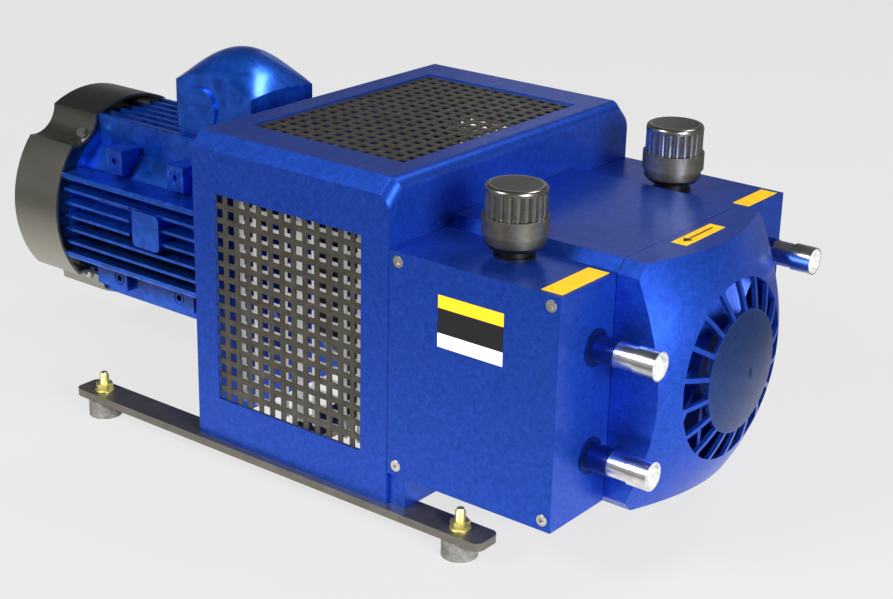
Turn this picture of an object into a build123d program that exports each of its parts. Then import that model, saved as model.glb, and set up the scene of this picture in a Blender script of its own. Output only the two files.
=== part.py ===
from build123d import *
import math
import os

# Dry-running rotary vane vacuum pump, driven by a flanged motor and carried on two rails.
# +X points along the shaft to the fan end, the near side is -Y, +Z is up, all in millimetres.
# The origin lies on the floor, under the middle of the whole machine.

# How far a cutter runs past the face it cuts through
OVERRUN = 1.0

# Lengths along the shaft, from the motor end to the fan end
MOTOR_COWL_LENGTH = 69.0
MOTOR_BODY_LENGTH = 288.0
MOTOR_CAGE_GAP = 3.0
CAGE_LENGTH = 240.0
PUMP_LENGTH = 182.0
FRONT_COVER_INSET = 12.0
FAN_COWL_LENGTH = 76.0

# Rails and feet
RAIL_WIDTH = 32.0
RAIL_THICKNESS = 8.0
RAIL_CORNER = 8.0
RAIL_OVERHANG = 8.0
RAIL_BEHIND_CAGE = 176.0
RAIL_BEFORE_CAGE = 112.0
FOOT_RADIUS = 17.0
FOOT_HEIGHT = 18.3
REAR_FOOT_INSET = 28.0
FRONT_FOOT_INSET = 32.5
STUD_RADIUS = 5.0
STUD_HOLE_CLEARANCE = 0.5
STUD_DEPTH_IN_FOOT = 10.0
STUD_ABOVE_RAIL = 20.0
NUT_FLATS = 16.0
NUT_HEIGHT = 8.0
BEAM_WIDTH = 40.0
BEAM_THICKNESS = 8.0
BEAM_SIDE_GAP = 2.0

# Shaft line
AXIS_ABOVE_RAIL = 141.2
SHAFT_RADIUS = 15.0
RUNNING_FIT = 0.05
SHAFT_HOLE_CLEARANCE = 1.0
BEARING_RADIUS = 31.0
BEARING_WIDTH = 16.0
BODY_GAP = 0.4
SEAM = 0.7

# Pump shroud and fan cowl
SHROUD_HALF_WIDTH = 107.5
SHROUD_HALF_HEIGHT = 116.0
SHROUD_CHAMFER = 11.0
SHROUD_WALL = 4.0
DOME_RADIUS = 217.0
DOME_CONE_START = 112.0
DOME_CONE_SLOPE = 0.61
VENT_INNER_RADIUS = 57.4
VENT_OUTER_RADIUS = 84.4
VENT_RIBS = 18
VENT_RIB_WIDTH = 4.4

# Vacuum chambers on both sides of the pump
CHAMBER_DEPTH = 82.5
CHAMBER_ABOVE_AXIS = 106.5
CHAMBER_BELOW_AXIS = 108.7
CHAMBER_END_GAP = 1.0
CHAMBER_WALL = 5.0
CHAMBER_COVER_THICKNESS = 6.0
COVER_SCREW_INSET = 9.5
SCREW_SHANK_RADIUS = 3.0
SCREW_HEAD_RADIUS = 5.8
SCREW_HEAD_HEIGHT = 2.4
SCREW_DEPTH = 14.0
SCREW_POST = 18.0
PORT_WIDTH = 44.0
PORT_HEIGHT = 34.0
PORT_WALL = 6.0
FILTER_RADIUS = 30.0
FILTER_BORE = 18.0
FILTER_LENGTH = 120.0

# Hose nozzles on the chamber fronts, measured from the shroud and from the shaft line
NOZZLE_FROM_SHROUD = {"near": 26.5, "far": 30.5}
NOZZLE_HEIGHTS = {"near": {"upper": 46.0, "lower": -55.0}, "far": {"upper": 65.0}}
STUB_LENGTH = 24.0
STUB_RADIUS = 12.4
STUB_FLANGE_RADIUS = 17.0
STUB_FLANGE_THICKNESS = 1.5
TAIL_STEP = 20.0
TAIL_LENGTH = 40.0
TAIL_RADIUS = 11.6
TAIL_SLEEVE_RADIUS = 13.0
TAIL_MOUTH_RADIUS = 11.8
TAIL_MOUTH_DEPTH = 16.0
NOZZLE_BORE = 9.5

# Regulating valves on the chamber tops
VALVE_FROM_CAGE = 91.0
VALVE_FROM_SHROUD = 4.0
VALVE_SKIRT_DEPTH = 38.0
VALVE_SKIRT_RADIUS = 16.0
VALVE_FLANGE_RADIUS = 18.5
VALVE_FLANGE_THICKNESS = 2.0
VALVE_NECK_HEIGHT = 9.3
COLLAR_BOTTOM_RADIUS = 24.0
COLLAR_WAIST_RADIUS = 27.4
COLLAR_LIP_RADIUS = 29.6
COLLAR_TAPER_HEIGHT = 4.0
COLLAR_WAIST_HEIGHT = 8.2
COLLAR_LIP_HEIGHT = 16.0
VALVE_BORE = 13.0
VALVE_ROOF = 4.5
SEAT_THICKNESS = 4.0
SEAT_HOLE_RADIUS = 8.0
KNOB_RADIUS = 27.6
KNOB_HEIGHT = 26.9
KNOB_RIBS = 20
KNOB_RIB_RADIUS = 4.6
KNOB_GROOVE_DEPTH = 2.2
KNOB_CROWN = 5.5
KNOB_EDGE = 3.5
SPINDLE_RADIUS = 4.0
SPINDLE_COLLAR_RADIUS = 7.0
SPINDLE_COLLAR_HEIGHT = 3.0
NUT_PLATE_THICKNESS = 7.0
NUT_PLATE_DROP = 5.0
NUT_PLATE_GAP = 0.3
DISC_RADIUS = 11.0
DISC_THICKNESS = 3.5
DISC_STEM_RADIUS = 2.5
DISC_STEM_HEIGHT = 8.0
SPRING_RADIUS = 8.5
SPRING_WIRE = 1.6
SPRING_TURNS = 6

# Cylinder, rotor and vanes
CYLINDER_BORE = 64.0
CYLINDER_WALL = 14.0
END_COVER_THICKNESS = 24.0
REAR_COVER_RADIUS = 92.0
ROTOR_GAP = 0.1
ROTOR_RADIUS = 58.0
ROTOR_END_GAP = 0.5
VANE_COUNT = 6
VANE_SLOT_WIDTH = 5.2
VANE_SLOT_DEPTH = 30.0
VANE_SIDE_GAP = 0.1
VANE_TIP_DROP = 0.3

# Front fan
FAN_HUB_RADIUS = 30.0
FAN_FROM_COVER = 8.0
FAN_FROM_CROWN = 34.0
FAN_TIP_RADIUS = 90.0
FAN_BLADES = 10
FAN_BLADE_THICKNESS = 3.0
FAN_BLADE_ROOT = 2.0
FAN_BLADE_SHARE = 0.86
FAN_BLADE_PITCH = 35.0

# Cage over the coupling
CAGE_SIDE_HEIGHT = 294.9
CAGE_CHAMFER = 13.3
CAGE_SHEET = 2.0
CAGE_FRONT_RADIUS = 12.0
GRILLE_PITCH = 14.3
GRILLE_HOLE = 8.8
GRILLE_COLUMNS = 13
SIDE_GRILLE_ROWS = 15
TOP_GRILLE_ROWS = 19
GRILLE_FROM_CAGE_REAR = 28.0
SIDE_GRILLE_ABOVE_RAIL = 44.2
GRILLE_SHEET = 1.5
GRILLE_MARGIN = 9.0
TOP_WINDOW_BORDER = 3.0
CAGE_HOLE_CLEARANCE = 1.5

# Lantern and coupling
LANTERN_FLANGE_RADIUS = 100.0
LANTERN_FLANGE_THICKNESS = 14.0
LANTERN_BORE = 66.0
LANTERN_ARMS = 4
LANTERN_ARM_WIDTH = 26.0
LANTERN_ARM_THICKNESS = 16.0
LANTERN_FOOT_WIDTH = 120.0
PEDESTAL_LENGTH = 19.0
PEDESTAL_SIDE_GAP = 4.0
COUPLING_RADIUS = 32.0
COUPLING_HUB_LENGTH = 42.0
COUPLING_FROM_FLANGE = 8.0
COUPLING_JAW_LENGTH = 16.0
COUPLING_JAWS = 3
COUPLING_JAW_ANGLE = 40.0
COUPLING_END_GAP = 1.0
SPIDER_ARM_ANGLE = 17.0
SPIDER_BORE = 8.0
SPIDER_RADIUS = 30.0

# Motor
MOTOR_BORE_RADIUS = 72.0
MOTOR_CORE_RADIUS = 84.0
MOTOR_FIN_REACH = 103.0
MOTOR_FIN_PITCH = 15.0
MOTOR_FIN_THICKNESS = 3.2
MOTOR_OUTER_FIN_THICKNESS = 6.0
MOTOR_FINS_EACH_WAY = 3
MOTOR_CORNER_RADIUS = 113.0
PAD_FACE_Y = 79.0
PAD_FACE_Z = 79.6
PAD_DEPTH = 27.0
PAD_LENGTH = 24.0
PAD_STATIONS = (57.0, 150.0)
PAD_HOLE_RADIUS = 3.6
PAD_HOLE_DEPTH = 9.0
PAD_RING_RADIUS = 7.6
PAD_RING_WIDTH = 1.4
PAD_RING_DEPTH = 1.2
PAD_HOLE_DROP = 12.5
FOOT_BAR_REAR = 22.0
FOOT_BAR_FRONT = 172.0
FOOT_BAR_POCKET = 34.0
FOOT_POCKET_DEPTH = 8.0
FOOT_POCKET_RIM = 6.0
PLATE_BOSS_SIZE = 40.0
PLATE_BOSS_STATION = 132.0
PLATE_BOSS_RISE = 11.0
PLATE_BOSS_FACE = 107.0
PLATE_POCKET_MARGIN = 9.0
PLATE_BOSS_CORNER = 6.0
MOTOR_COWL_RADIUS = 115.0
MOTOR_COWL_WALL = 3.0
GROOVE_ANGLE = 52.0
GROOVE_CENTRE = 131.8
GROOVE_RADIUS = 29.8
COWL_SLOTS = 12
COWL_SLOT_INNER = 32.0
COWL_SLOT_OUTER = 78.0
COWL_SLOT_WIDTH = 9.0
COWL_BOLT_FLATS = 10.0
COWL_BOLT_HEAD = 5.0
COWL_BOLT_RADIUS = 3.0
COWL_BOLT_DEPTH = 12.0
COWL_BOLT_SEAT = 0.7
MOTOR_SHIELD_RADIUS = 94.0
MOTOR_SHIELD_LENGTH = 60.0
MOTOR_SHIELD_WALL = 12.0
MOTOR_REAR_SHIELD_RADIUS = 97.0
MOTOR_REAR_SHIELD_THICKNESS = 20.0
STATOR_INNER_RADIUS = 46.0
STATOR_LENGTH = 170.0
AIR_GAP = 0.6
MOTOR_FAN_RADIUS = 95.0
MOTOR_FAN_LENGTH = 30.0
MOTOR_FAN_BLADES = 7
MOTOR_FAN_HUB_RADIUS = 22.0
MOTOR_FAN_GAP = 4.0

# Terminal box on the motor
TERMINAL_LENGTH = 116.0
TERMINAL_WIDTH = 93.0
TERMINAL_STATION = 172.0
TERMINAL_BASE_ABOVE_AXIS = 112.0
TERMINAL_CORNER_HEIGHT = 46.0
TERMINAL_END_BULGE = 4.0
TERMINAL_SIDE_BULGE = 16.0
TERMINAL_CROWN = 22.0
TERMINAL_REAR_CORNER = 14.0
TERMINAL_WALL = 5.0
TERMINAL_SEAT_INSET = 6.0
TERMINAL_LID_THICKNESS = 4.0
TERMINAL_PLUG_RADIUS = 23.0
TERMINAL_PLUG_THICKNESS = 3.0
TERMINAL_PLUG_OFFSET = 14.0
TERMINAL_PLUG_HEIGHT = 24.0

# Places along X that follow from the lengths
OVERALL_LENGTH = (MOTOR_COWL_LENGTH + MOTOR_BODY_LENGTH + MOTOR_CAGE_GAP + CAGE_LENGTH
                  + PUMP_LENGTH + FAN_COWL_LENGTH)
REAR_END = -OVERALL_LENGTH / 2
MOTOR_REAR = REAR_END + MOTOR_COWL_LENGTH
MOTOR_FRONT = MOTOR_REAR + MOTOR_BODY_LENGTH
CAGE_REAR = MOTOR_FRONT + MOTOR_CAGE_GAP
CAGE_FRONT = CAGE_REAR + CAGE_LENGTH
PUMP_FRONT = CAGE_FRONT + PUMP_LENGTH
FRONT_END = PUMP_FRONT + FAN_COWL_LENGTH
MOTOR_FACE = MOTOR_FRONT + MOTOR_SHIELD_LENGTH + MOTOR_SHIELD_WALL
CYLINDER_REAR = CAGE_FRONT + END_COVER_THICKNESS
FRONT_COVER_FACE = PUMP_FRONT - FRONT_COVER_INSET
CYLINDER_FRONT = FRONT_COVER_FACE - END_COVER_THICKNESS
FAN_REAR = FRONT_COVER_FACE + FAN_FROM_COVER
FAN_FRONT = FRONT_END - FAN_FROM_CROWN
RAIL_REAR = CAGE_REAR - RAIL_BEHIND_CAGE
RAIL_FRONT = CAGE_FRONT + RAIL_BEFORE_CAGE
FOOT_STATIONS = (RAIL_REAR + REAR_FOOT_INSET, RAIL_FRONT - FRONT_FOOT_INSET)
VALVE_X = CAGE_FRONT + VALVE_FROM_CAGE

# Heights and half widths that follow
RAIL_TOP = FOOT_HEIGHT + RAIL_THICKNESS
AXIS_Z = RAIL_TOP + AXIS_ABOVE_RAIL
OUTER_Y = SHROUD_HALF_WIDTH + CHAMBER_DEPTH
VALVE_Y = SHROUD_HALF_WIDTH + VALVE_FROM_SHROUD + VALVE_FLANGE_RADIUS
RAIL_Y = OUTER_Y + RAIL_OVERHANG - RAIL_WIDTH / 2
CHAMBER_TOP = AXIS_Z + CHAMBER_ABOVE_AXIS
CHAMBER_BOTTOM = AXIS_Z - CHAMBER_BELOW_AXIS
SHROUD_BOTTOM = AXIS_Z - SHROUD_HALF_HEIGHT
CAGE_TOP = RAIL_TOP + CAGE_SIDE_HEIGHT + CAGE_CHAMFER
CHAMBER_REAR = CAGE_FRONT + SEAM
CHAMBER_FRONT = PUMP_FRONT - CHAMBER_END_GAP
BORE_DROP = CYLINDER_BORE - ROTOR_RADIUS - ROTOR_GAP
SIDES = {"near": -1, "far": 1}


def block(x0, x1, y0, y1, z0, z1):
    """Box between two values on each axis."""
    middle = ((x0 + x1) / 2, (y0 + y1) / 2, (z0 + z1) / 2)
    return Pos(*middle) * Box(x1 - x0, abs(y1 - y0), z1 - z0)


def section(x):
    """Plane across the shaft line, its local axes along Y and Z from the shaft centre."""
    return Plane((x, 0, AXIS_Z), x_dir=(0, 1, 0), z_dir=(1, 0, 0))


def slice_x(shape, x0, x1):
    """Solid with one outline across the shaft line between two places along it."""
    return extrude(section(x0) * shape, amount=x1 - x0)


def rod_x(radius, x0, x1, y=0, height=0):
    """Round bar along X, placed from the shaft centre."""
    return slice_x(Pos(y, height) * Circle(radius), x0, x1)


def rod_y(radius, y0, y1, x, z):
    """Round bar along Y."""
    return Pos(x, (y0 + y1) / 2, z) * Rot(90, 0, 0) * Cylinder(radius, abs(y1 - y0))


def rod_z(radius, z0, z1, x=0, y=0):
    """Upright round bar."""
    return Pos(x, y, (z0 + z1) / 2) * Cylinder(radius, z1 - z0)


def turned_z(points, x, y):
    """Solid turned about an upright line from radius and height pairs."""
    outline = Plane.XZ * make_face(Polyline(*points, close=True))
    return Pos(x, y, 0) * revolve(outline, Axis.Z)


def octagon(inset=0.0):
    """Shroud outline across the shaft, a rectangle with cut corners."""
    outline = Rectangle(2 * (SHROUD_HALF_WIDTH - inset), 2 * (SHROUD_HALF_HEIGHT - inset))
    corner = SHROUD_CHAMFER - inset * (2 - math.sqrt(2))
    return chamfer(outline.vertices(), corner)


def side_ranges(sign, inner, outer):
    """Y limits of a piece on one side, given by its distances from the middle."""
    return min(sign * inner, sign * outer), max(sign * inner, sign * outer)


# Base: two flat rails with rounded ends on four rubber feet

def base_rail(sign):
    """Flat rail with a stud hole over each foot."""
    outline = RectangleRounded(RAIL_FRONT - RAIL_REAR, RAIL_WIDTH, RAIL_CORNER)
    place = Pos((RAIL_REAR + RAIL_FRONT) / 2, sign * RAIL_Y, FOOT_HEIGHT)
    rail = extrude(place * outline, amount=RAIL_THICKNESS)
    hole = STUD_RADIUS + STUD_HOLE_CLEARANCE
    for x in FOOT_STATIONS:
        rail -= rod_z(hole, FOOT_HEIGHT - OVERRUN, RAIL_TOP + OVERRUN, x, sign * RAIL_Y)
    return rail


def at_each_foot(make):
    """Copies of one piece over the four feet."""
    return [make(x, sign * RAIL_Y) for x in FOOT_STATIONS for sign in SIDES.values()]


def rubber_foot(x, y):
    """Rubber cylinder with a blind hole for its stud."""
    foot = rod_z(FOOT_RADIUS, 0, FOOT_HEIGHT, x, y)
    return foot - rod_z(STUD_RADIUS, FOOT_HEIGHT - STUD_DEPTH_IN_FOOT, FOOT_HEIGHT + OVERRUN, x, y)


def foot_stud(x, y):
    """Threaded stud from the foot up through the rail."""
    return rod_z(STUD_RADIUS, FOOT_HEIGHT - STUD_DEPTH_IN_FOOT, RAIL_TOP + STUD_ABOVE_RAIL, x, y)


def foot_nut(x, y):
    """Hexagon nut on the rail."""
    outline = RegularPolygon(NUT_FLATS / 2, 6, major_radius=False) - Circle(STUD_RADIUS)
    return extrude(Pos(x, y, RAIL_TOP) * outline, amount=NUT_HEIGHT)


def cross_beam(x0):
    """Flat beam that ties the rails together under the lantern, inside the cage walls."""
    half = OUTER_Y - CAGE_SHEET - BEAM_SIDE_GAP
    return block(x0, x0 + BEAM_WIDTH, -half, half, RAIL_TOP, RAIL_TOP + BEAM_THICKNESS)


def cross_beams():
    """Rear beam under the motor flange and front beam behind the cage front."""
    return [cross_beam(x) for x in (MOTOR_FACE, CAGE_FRONT - CAGE_SHEET - BEAM_WIDTH)]


def pump_pedestal():
    """Cast block on the rails that carries the shroud and both chambers."""
    x0 = CAGE_FRONT
    x1 = x0 + PEDESTAL_LENGTH
    half = OUTER_Y - PEDESTAL_SIDE_GAP
    body = block(x0, x1, -half, half, RAIL_TOP, SHROUD_BOTTOM)
    for sign in SIDES.values():
        y0, y1 = side_ranges(sign, SHROUD_HALF_WIDTH, half)
        body += block(x0, x1, y0, y1, SHROUD_BOTTOM, CHAMBER_BOTTOM)
    return body


# Lantern: two rings and four arms between the motor flange and the pump

def lantern():
    """Open coupling housing with a foot under each ring."""
    front = CAGE_FRONT
    thick = LANTERN_FLANGE_THICKNESS
    ring = Circle(LANTERN_FLANGE_RADIUS) - Circle(LANTERN_BORE)
    front_ring = Circle(REAR_COVER_RADIUS) - Circle(LANTERN_BORE)
    body = slice_x(ring, MOTOR_FACE, MOTOR_FACE + thick)
    body += slice_x(front_ring, front - thick, front)
    arm_middle = REAR_COVER_RADIUS - LANTERN_ARM_THICKNESS / 2
    for number in range(LANTERN_ARMS):
        angle = 45 + number * 360 / LANTERN_ARMS
        arm = Rot(0, 0, angle) * Pos(arm_middle, 0) * Rectangle(LANTERN_ARM_THICKNESS, LANTERN_ARM_WIDTH)
        body += slice_x(arm, MOTOR_FACE + thick / 2, front - thick / 2)
    foot_top = AXIS_Z - (LANTERN_BORE + LANTERN_FLANGE_RADIUS) / 2
    foot_bottom = RAIL_TOP + BEAM_THICKNESS
    half = LANTERN_FOOT_WIDTH / 2
    web = block(0, thick - CAGE_SHEET, -half, half, foot_bottom, foot_top)
    web -= rod_x(LANTERN_BORE, -OVERRUN, thick)
    body += Pos(MOTOR_FACE, 0, 0) * web
    body += Pos(front - thick, 0, 0) * web
    return body


# Cage: blue sheet hood with perforated sheets behind its windows

def cage_outline(inset):
    """Hood outline across the shaft, open at the bottom, in Y and height from the shaft."""
    half = OUTER_Y - inset
    low = RAIL_TOP - AXIS_Z - (OVERRUN if inset else 0)
    shoulder = RAIL_TOP + CAGE_SIDE_HEIGHT - AXIS_Z
    top = CAGE_TOP - AXIS_Z - inset
    cut = CAGE_CHAMFER - inset * (2 - math.sqrt(2))
    corner = top - cut if inset else shoulder
    points = [(-half, low), (-half, corner), (-half + cut, top), (half - cut, top),
              (half, corner), (half, low)]
    return make_face(Polyline(*points, close=True))


def cage_body(inset):
    """Block inside the hood outline with its upper front edges rounded."""
    body = slice_x(cage_outline(inset), CAGE_REAR + inset, CAGE_FRONT - inset)
    front = [edge for edge in body.edges()
             if abs(edge.center().X - (CAGE_FRONT - inset)) < 0.01
             and edge.center().Z > RAIL_TOP + CAGE_SIDE_HEIGHT - inset]
    return fillet(front, CAGE_FRONT_RADIUS - inset)


def grille_centre_x():
    """Middle of every grille along the shaft."""
    return CAGE_REAR + GRILLE_FROM_CAGE_REAR + ((GRILLE_COLUMNS - 1) * GRILLE_PITCH + GRILLE_HOLE) / 2


def grille_span(count):
    """Length over the outer edges of a row of holes."""
    return (count - 1) * GRILLE_PITCH + GRILLE_HOLE


def side_grille_middle():
    """Height of the middle of the side grilles."""
    return RAIL_TOP + SIDE_GRILLE_ABOVE_RAIL + grille_span(SIDE_GRILLE_ROWS) / 2


def cage_shell():
    """Hood of sheet metal with three windows and a round opening at each end."""
    shell = cage_body(0) - cage_body(CAGE_SHEET)
    middle = grille_centre_x()
    half = grille_span(GRILLE_COLUMNS) / 2
    z = side_grille_middle()
    rise = grille_span(SIDE_GRILLE_ROWS) / 2
    across = OUTER_Y + OVERRUN
    shell -= block(middle - half, middle + half, -across, across, z - rise, z + rise)
    half += TOP_WINDOW_BORDER
    reach = grille_span(TOP_GRILLE_ROWS) / 2 + TOP_WINDOW_BORDER
    low = CAGE_TOP - CAGE_FRONT_RADIUS
    shell -= block(middle - half, middle + half, -reach, reach, low, CAGE_TOP + OVERRUN)
    through = CAGE_SHEET + OVERRUN
    shell -= rod_x(MOTOR_SHIELD_RADIUS + CAGE_HOLE_CLEARANCE, CAGE_REAR - OVERRUN, CAGE_REAR + through)
    return shell - rod_x(REAR_COVER_RADIUS + CAGE_HOLE_CLEARANCE, CAGE_FRONT - through, CAGE_FRONT + OVERRUN)


def perforated(rows):
    """Sheet outline with a square grid of square holes."""
    plate = Rectangle(grille_span(GRILLE_COLUMNS) + 2 * GRILLE_MARGIN, grille_span(rows) + 2 * GRILLE_MARGIN)
    holes = [place * Rectangle(GRILLE_HOLE, GRILLE_HOLE)
             for place in GridLocations(GRILLE_PITCH, GRILLE_PITCH, GRILLE_COLUMNS, rows)]
    return plate - holes


def side_grille(sign):
    """Perforated sheet against the inner face of one cage wall."""
    inner = OUTER_Y - CAGE_SHEET
    start = -inner if sign < 0 else inner - GRILLE_SHEET
    plane = Plane((grille_centre_x(), start, side_grille_middle()), x_dir=(1, 0, 0), z_dir=(0, 1, 0))
    return extrude(plane * perforated(SIDE_GRILLE_ROWS), amount=GRILLE_SHEET)


def top_grille():
    """Perforated sheet under the window in the cage roof."""
    place = Pos(grille_centre_x(), 0, CAGE_TOP - CAGE_SHEET - GRILLE_SHEET)
    return extrude(place * perforated(TOP_GRILLE_ROWS), amount=GRILLE_SHEET)


# Pump: shroud, cylinder with offset bore, end covers and bearings

def port_outline(extra=0.0):
    """Port between cylinder and chamber in X and height from the shaft."""
    return PORT_WIDTH / 2 + extra, PORT_HEIGHT / 2 + extra


def port_block(sign, inner, outer, extra):
    """Block along the port axis on one side."""
    half, rise = port_outline(extra)
    middle = (CYLINDER_REAR + CYLINDER_FRONT) / 2
    y0, y1 = side_ranges(sign, inner, outer)
    return block(middle - half, middle + half, y0, y1, AXIS_Z - rise, AXIS_Z + rise)


def pump_shroud():
    """Eight-sided duct around the cylinder that guides the cooling air."""
    shell = slice_x(octagon() - octagon(SHROUD_WALL), CAGE_FRONT + SEAM, PUMP_FRONT - SEAM)
    for sign in SIDES.values():
        shell -= port_block(sign, SHROUD_HALF_WIDTH - 2 * SHROUD_WALL, OUTER_Y, PORT_WALL)
    return shell


def cylinder_housing():
    """Cylinder with its bore below the shaft line and a port boss to each chamber."""
    outer = CYLINDER_BORE + CYLINDER_WALL
    body = rod_x(outer, CYLINDER_REAR, CYLINDER_FRONT, 0, -BORE_DROP)
    for sign in SIDES.values():
        body += port_block(sign, CYLINDER_BORE, SHROUD_HALF_WIDTH, PORT_WALL)
    body -= rod_x(CYLINDER_BORE, CYLINDER_REAR - OVERRUN, CYLINDER_FRONT + OVERRUN, 0, -BORE_DROP)
    for sign in SIDES.values():
        body -= port_block(sign, CYLINDER_BORE / 2, SHROUD_HALF_WIDTH + OVERRUN, 0)
    return body


def end_cover(radius, rise):
    """Disc with a bearing pocket in its outer face, drawn from x = 0 towards the cylinder."""
    cover = rod_x(radius, 0, END_COVER_THICKNESS, 0, rise)
    cover -= rod_x(BEARING_RADIUS, -OVERRUN, BEARING_WIDTH)
    return cover - rod_x(SHAFT_RADIUS + SHAFT_HOLE_CLEARANCE, 0, END_COVER_THICKNESS + OVERRUN)


def rear_end_cover():
    """Rear cover, as wide as the lantern ring that it is bolted to."""
    return Pos(CAGE_FRONT, 0, 0) * end_cover(REAR_COVER_RADIUS, 0)


def front_end_cover():
    """Front cover, as wide as the cylinder."""
    cover = end_cover(CYLINDER_BORE + CYLINDER_WALL, -BORE_DROP)
    return Pos(FRONT_COVER_FACE, 0, 0) * mirror(cover, Plane.YZ)


def bearing(x0):
    """Shielded ball bearing as one ring."""
    ring = Circle(BEARING_RADIUS) - Circle(SHAFT_RADIUS + RUNNING_FIT)
    return slice_x(ring, x0, x0 + BEARING_WIDTH)


def bearings():
    """Two bearings in the motor shields and two in the pump covers, all of one size."""
    rear_pocket = MOTOR_REAR - BEARING_WIDTH
    motor_front = MOTOR_FACE - MOTOR_SHIELD_WALL - BEARING_WIDTH
    pump_front = FRONT_COVER_FACE - BEARING_WIDTH
    return [bearing(x) for x in (rear_pocket, motor_front, CAGE_FRONT, pump_front)]


# Fan cowl: eight-sided skirt under a dome, with a ring of vents round a closed hub

def dome(inset):
    """Dome turned about the shaft: a ball in the middle and a cone round it."""
    radius = DOME_RADIUS - inset
    crown = FRONT_END - inset
    centre = crown - radius
    start = DOME_CONE_START
    start_x = centre + math.sqrt(radius ** 2 - start ** 2)
    outer = math.hypot(SHROUD_HALF_WIDTH, SHROUD_HALF_HEIGHT) + SHROUD_WALL
    outer_x = start_x - (outer - start) * DOME_CONE_SLOPE
    middle = (centre + radius * math.cos(0.5 * math.asin(start / radius)),
              radius * math.sin(0.5 * math.asin(start / radius)))
    back = PUMP_FRONT - SHROUD_WALL
    outline = Curve() + [
        ThreePointArc((crown, 0), middle, (start_x, start)),
        Polyline((start_x, start), (outer_x, outer), (back, outer), (back, 0), (crown, 0)),
    ]
    face = Plane((0, 0, AXIS_Z), x_dir=(1, 0, 0), z_dir=(0, -1, 0)) * make_face(outline)
    return revolve(face, Axis((0, 0, AXIS_Z), (1, 0, 0)))


def vent_windows():
    """Cutters for the openings between the ribs of the vent ring."""
    ring = Circle(VENT_OUTER_RADIUS) - Circle(VENT_INNER_RADIUS)
    ribs = [Rot(0, 0, (number + 0.5) * 360 / VENT_RIBS) * Pos(VENT_OUTER_RADIUS, 0)
            * Rectangle(2 * VENT_OUTER_RADIUS, VENT_RIB_WIDTH) for number in range(VENT_RIBS)]
    return slice_x(ring - ribs, PUMP_FRONT, FRONT_END)


def fan_cowl():
    """Cowl over the front fan."""
    outer = slice_x(octagon(), PUMP_FRONT, FRONT_END) & dome(0)
    inner = slice_x(octagon(SHROUD_WALL), PUMP_FRONT - OVERRUN, FRONT_END) & dome(SHROUD_WALL)
    return outer - inner - vent_windows()


# Chambers: open boxes closed by flat outer covers

def chamber_screw_places():
    """X and height of the four cover screws."""
    inset = COVER_SCREW_INSET
    return [(x, z) for x in (CHAMBER_REAR + inset, CHAMBER_FRONT - inset)
            for z in (CHAMBER_BOTTOM + inset, CHAMBER_TOP - inset)]


def nozzle_places(name):
    """Y and height of the hose nozzles on one side, by their names."""
    y = SIDES[name] * (SHROUD_HALF_WIDTH + NOZZLE_FROM_SHROUD[name])
    return {label: (y, rise) for label, rise in NOZZLE_HEIGHTS[name].items()}


def chamber_housing(name, sign):
    """Box with a post in each outer corner for a cover screw."""
    wall = CHAMBER_WALL
    mouth = OUTER_Y - CHAMBER_COVER_THICKNESS
    y0, y1 = side_ranges(sign, SHROUD_HALF_WIDTH, mouth)
    body = block(CHAMBER_REAR, CHAMBER_FRONT, y0, y1, CHAMBER_BOTTOM, CHAMBER_TOP)
    y0, y1 = side_ranges(sign, SHROUD_HALF_WIDTH + wall, mouth + OVERRUN)
    cavity = block(CHAMBER_REAR + wall, CHAMBER_FRONT - wall, y0, y1,
                   CHAMBER_BOTTOM + wall, CHAMBER_TOP - wall)
    for x, z in chamber_screw_places():
        half = SCREW_POST / 2
        cavity -= block(x - half, x + half, y0, y1, z - half, z + half)
    body -= cavity
    body -= port_block(sign, SHROUD_HALF_WIDTH - OVERRUN, SHROUD_HALF_WIDTH + wall + OVERRUN, 0)
    for x, z in chamber_screw_places():
        body -= rod_y(SCREW_SHANK_RADIUS, sign * (mouth - SCREW_DEPTH), sign * (mouth + OVERRUN), x, z)
    for y, rise in nozzle_places(name).values():
        body -= rod_x(NOZZLE_BORE, CHAMBER_FRONT - wall - OVERRUN, CHAMBER_FRONT + OVERRUN, y, rise)
    low = CHAMBER_TOP - wall - OVERRUN
    return body - rod_z(VALVE_SKIRT_RADIUS, low, CHAMBER_TOP + OVERRUN, VALVE_X, sign * VALVE_Y)


def chamber_cover(sign):
    """Flat outer cover with a hole over each post."""
    y0, y1 = side_ranges(sign, OUTER_Y - CHAMBER_COVER_THICKNESS, OUTER_Y)
    cover = block(CHAMBER_REAR, CHAMBER_FRONT, y0, y1, CHAMBER_BOTTOM, CHAMBER_TOP)
    for x, z in chamber_screw_places():
        cover -= rod_y(SCREW_SHANK_RADIUS, y0 - OVERRUN, y1 + OVERRUN, x, z)
        seat = sign * (OUTER_Y - SCREW_HEAD_HEIGHT)
        cover -= rod_y(SCREW_HEAD_RADIUS, seat, sign * (OUTER_Y + OVERRUN), x, z)
    return cover


def cover_screw(sign, x, z):
    """Screw with its head sunk flush into the cover."""
    seat = sign * (OUTER_Y - SCREW_HEAD_HEIGHT)
    shank_end = sign * (OUTER_Y - CHAMBER_COVER_THICKNESS - SCREW_DEPTH)
    screw = rod_y(SCREW_HEAD_RADIUS, seat, sign * OUTER_Y, x, z)
    return screw + rod_y(SCREW_SHANK_RADIUS, shank_end, seat, x, z)


def cover_screws():
    """The four screws of each chamber cover."""
    return [cover_screw(sign, x, z) for sign in SIDES.values() for x, z in chamber_screw_places()]


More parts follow.
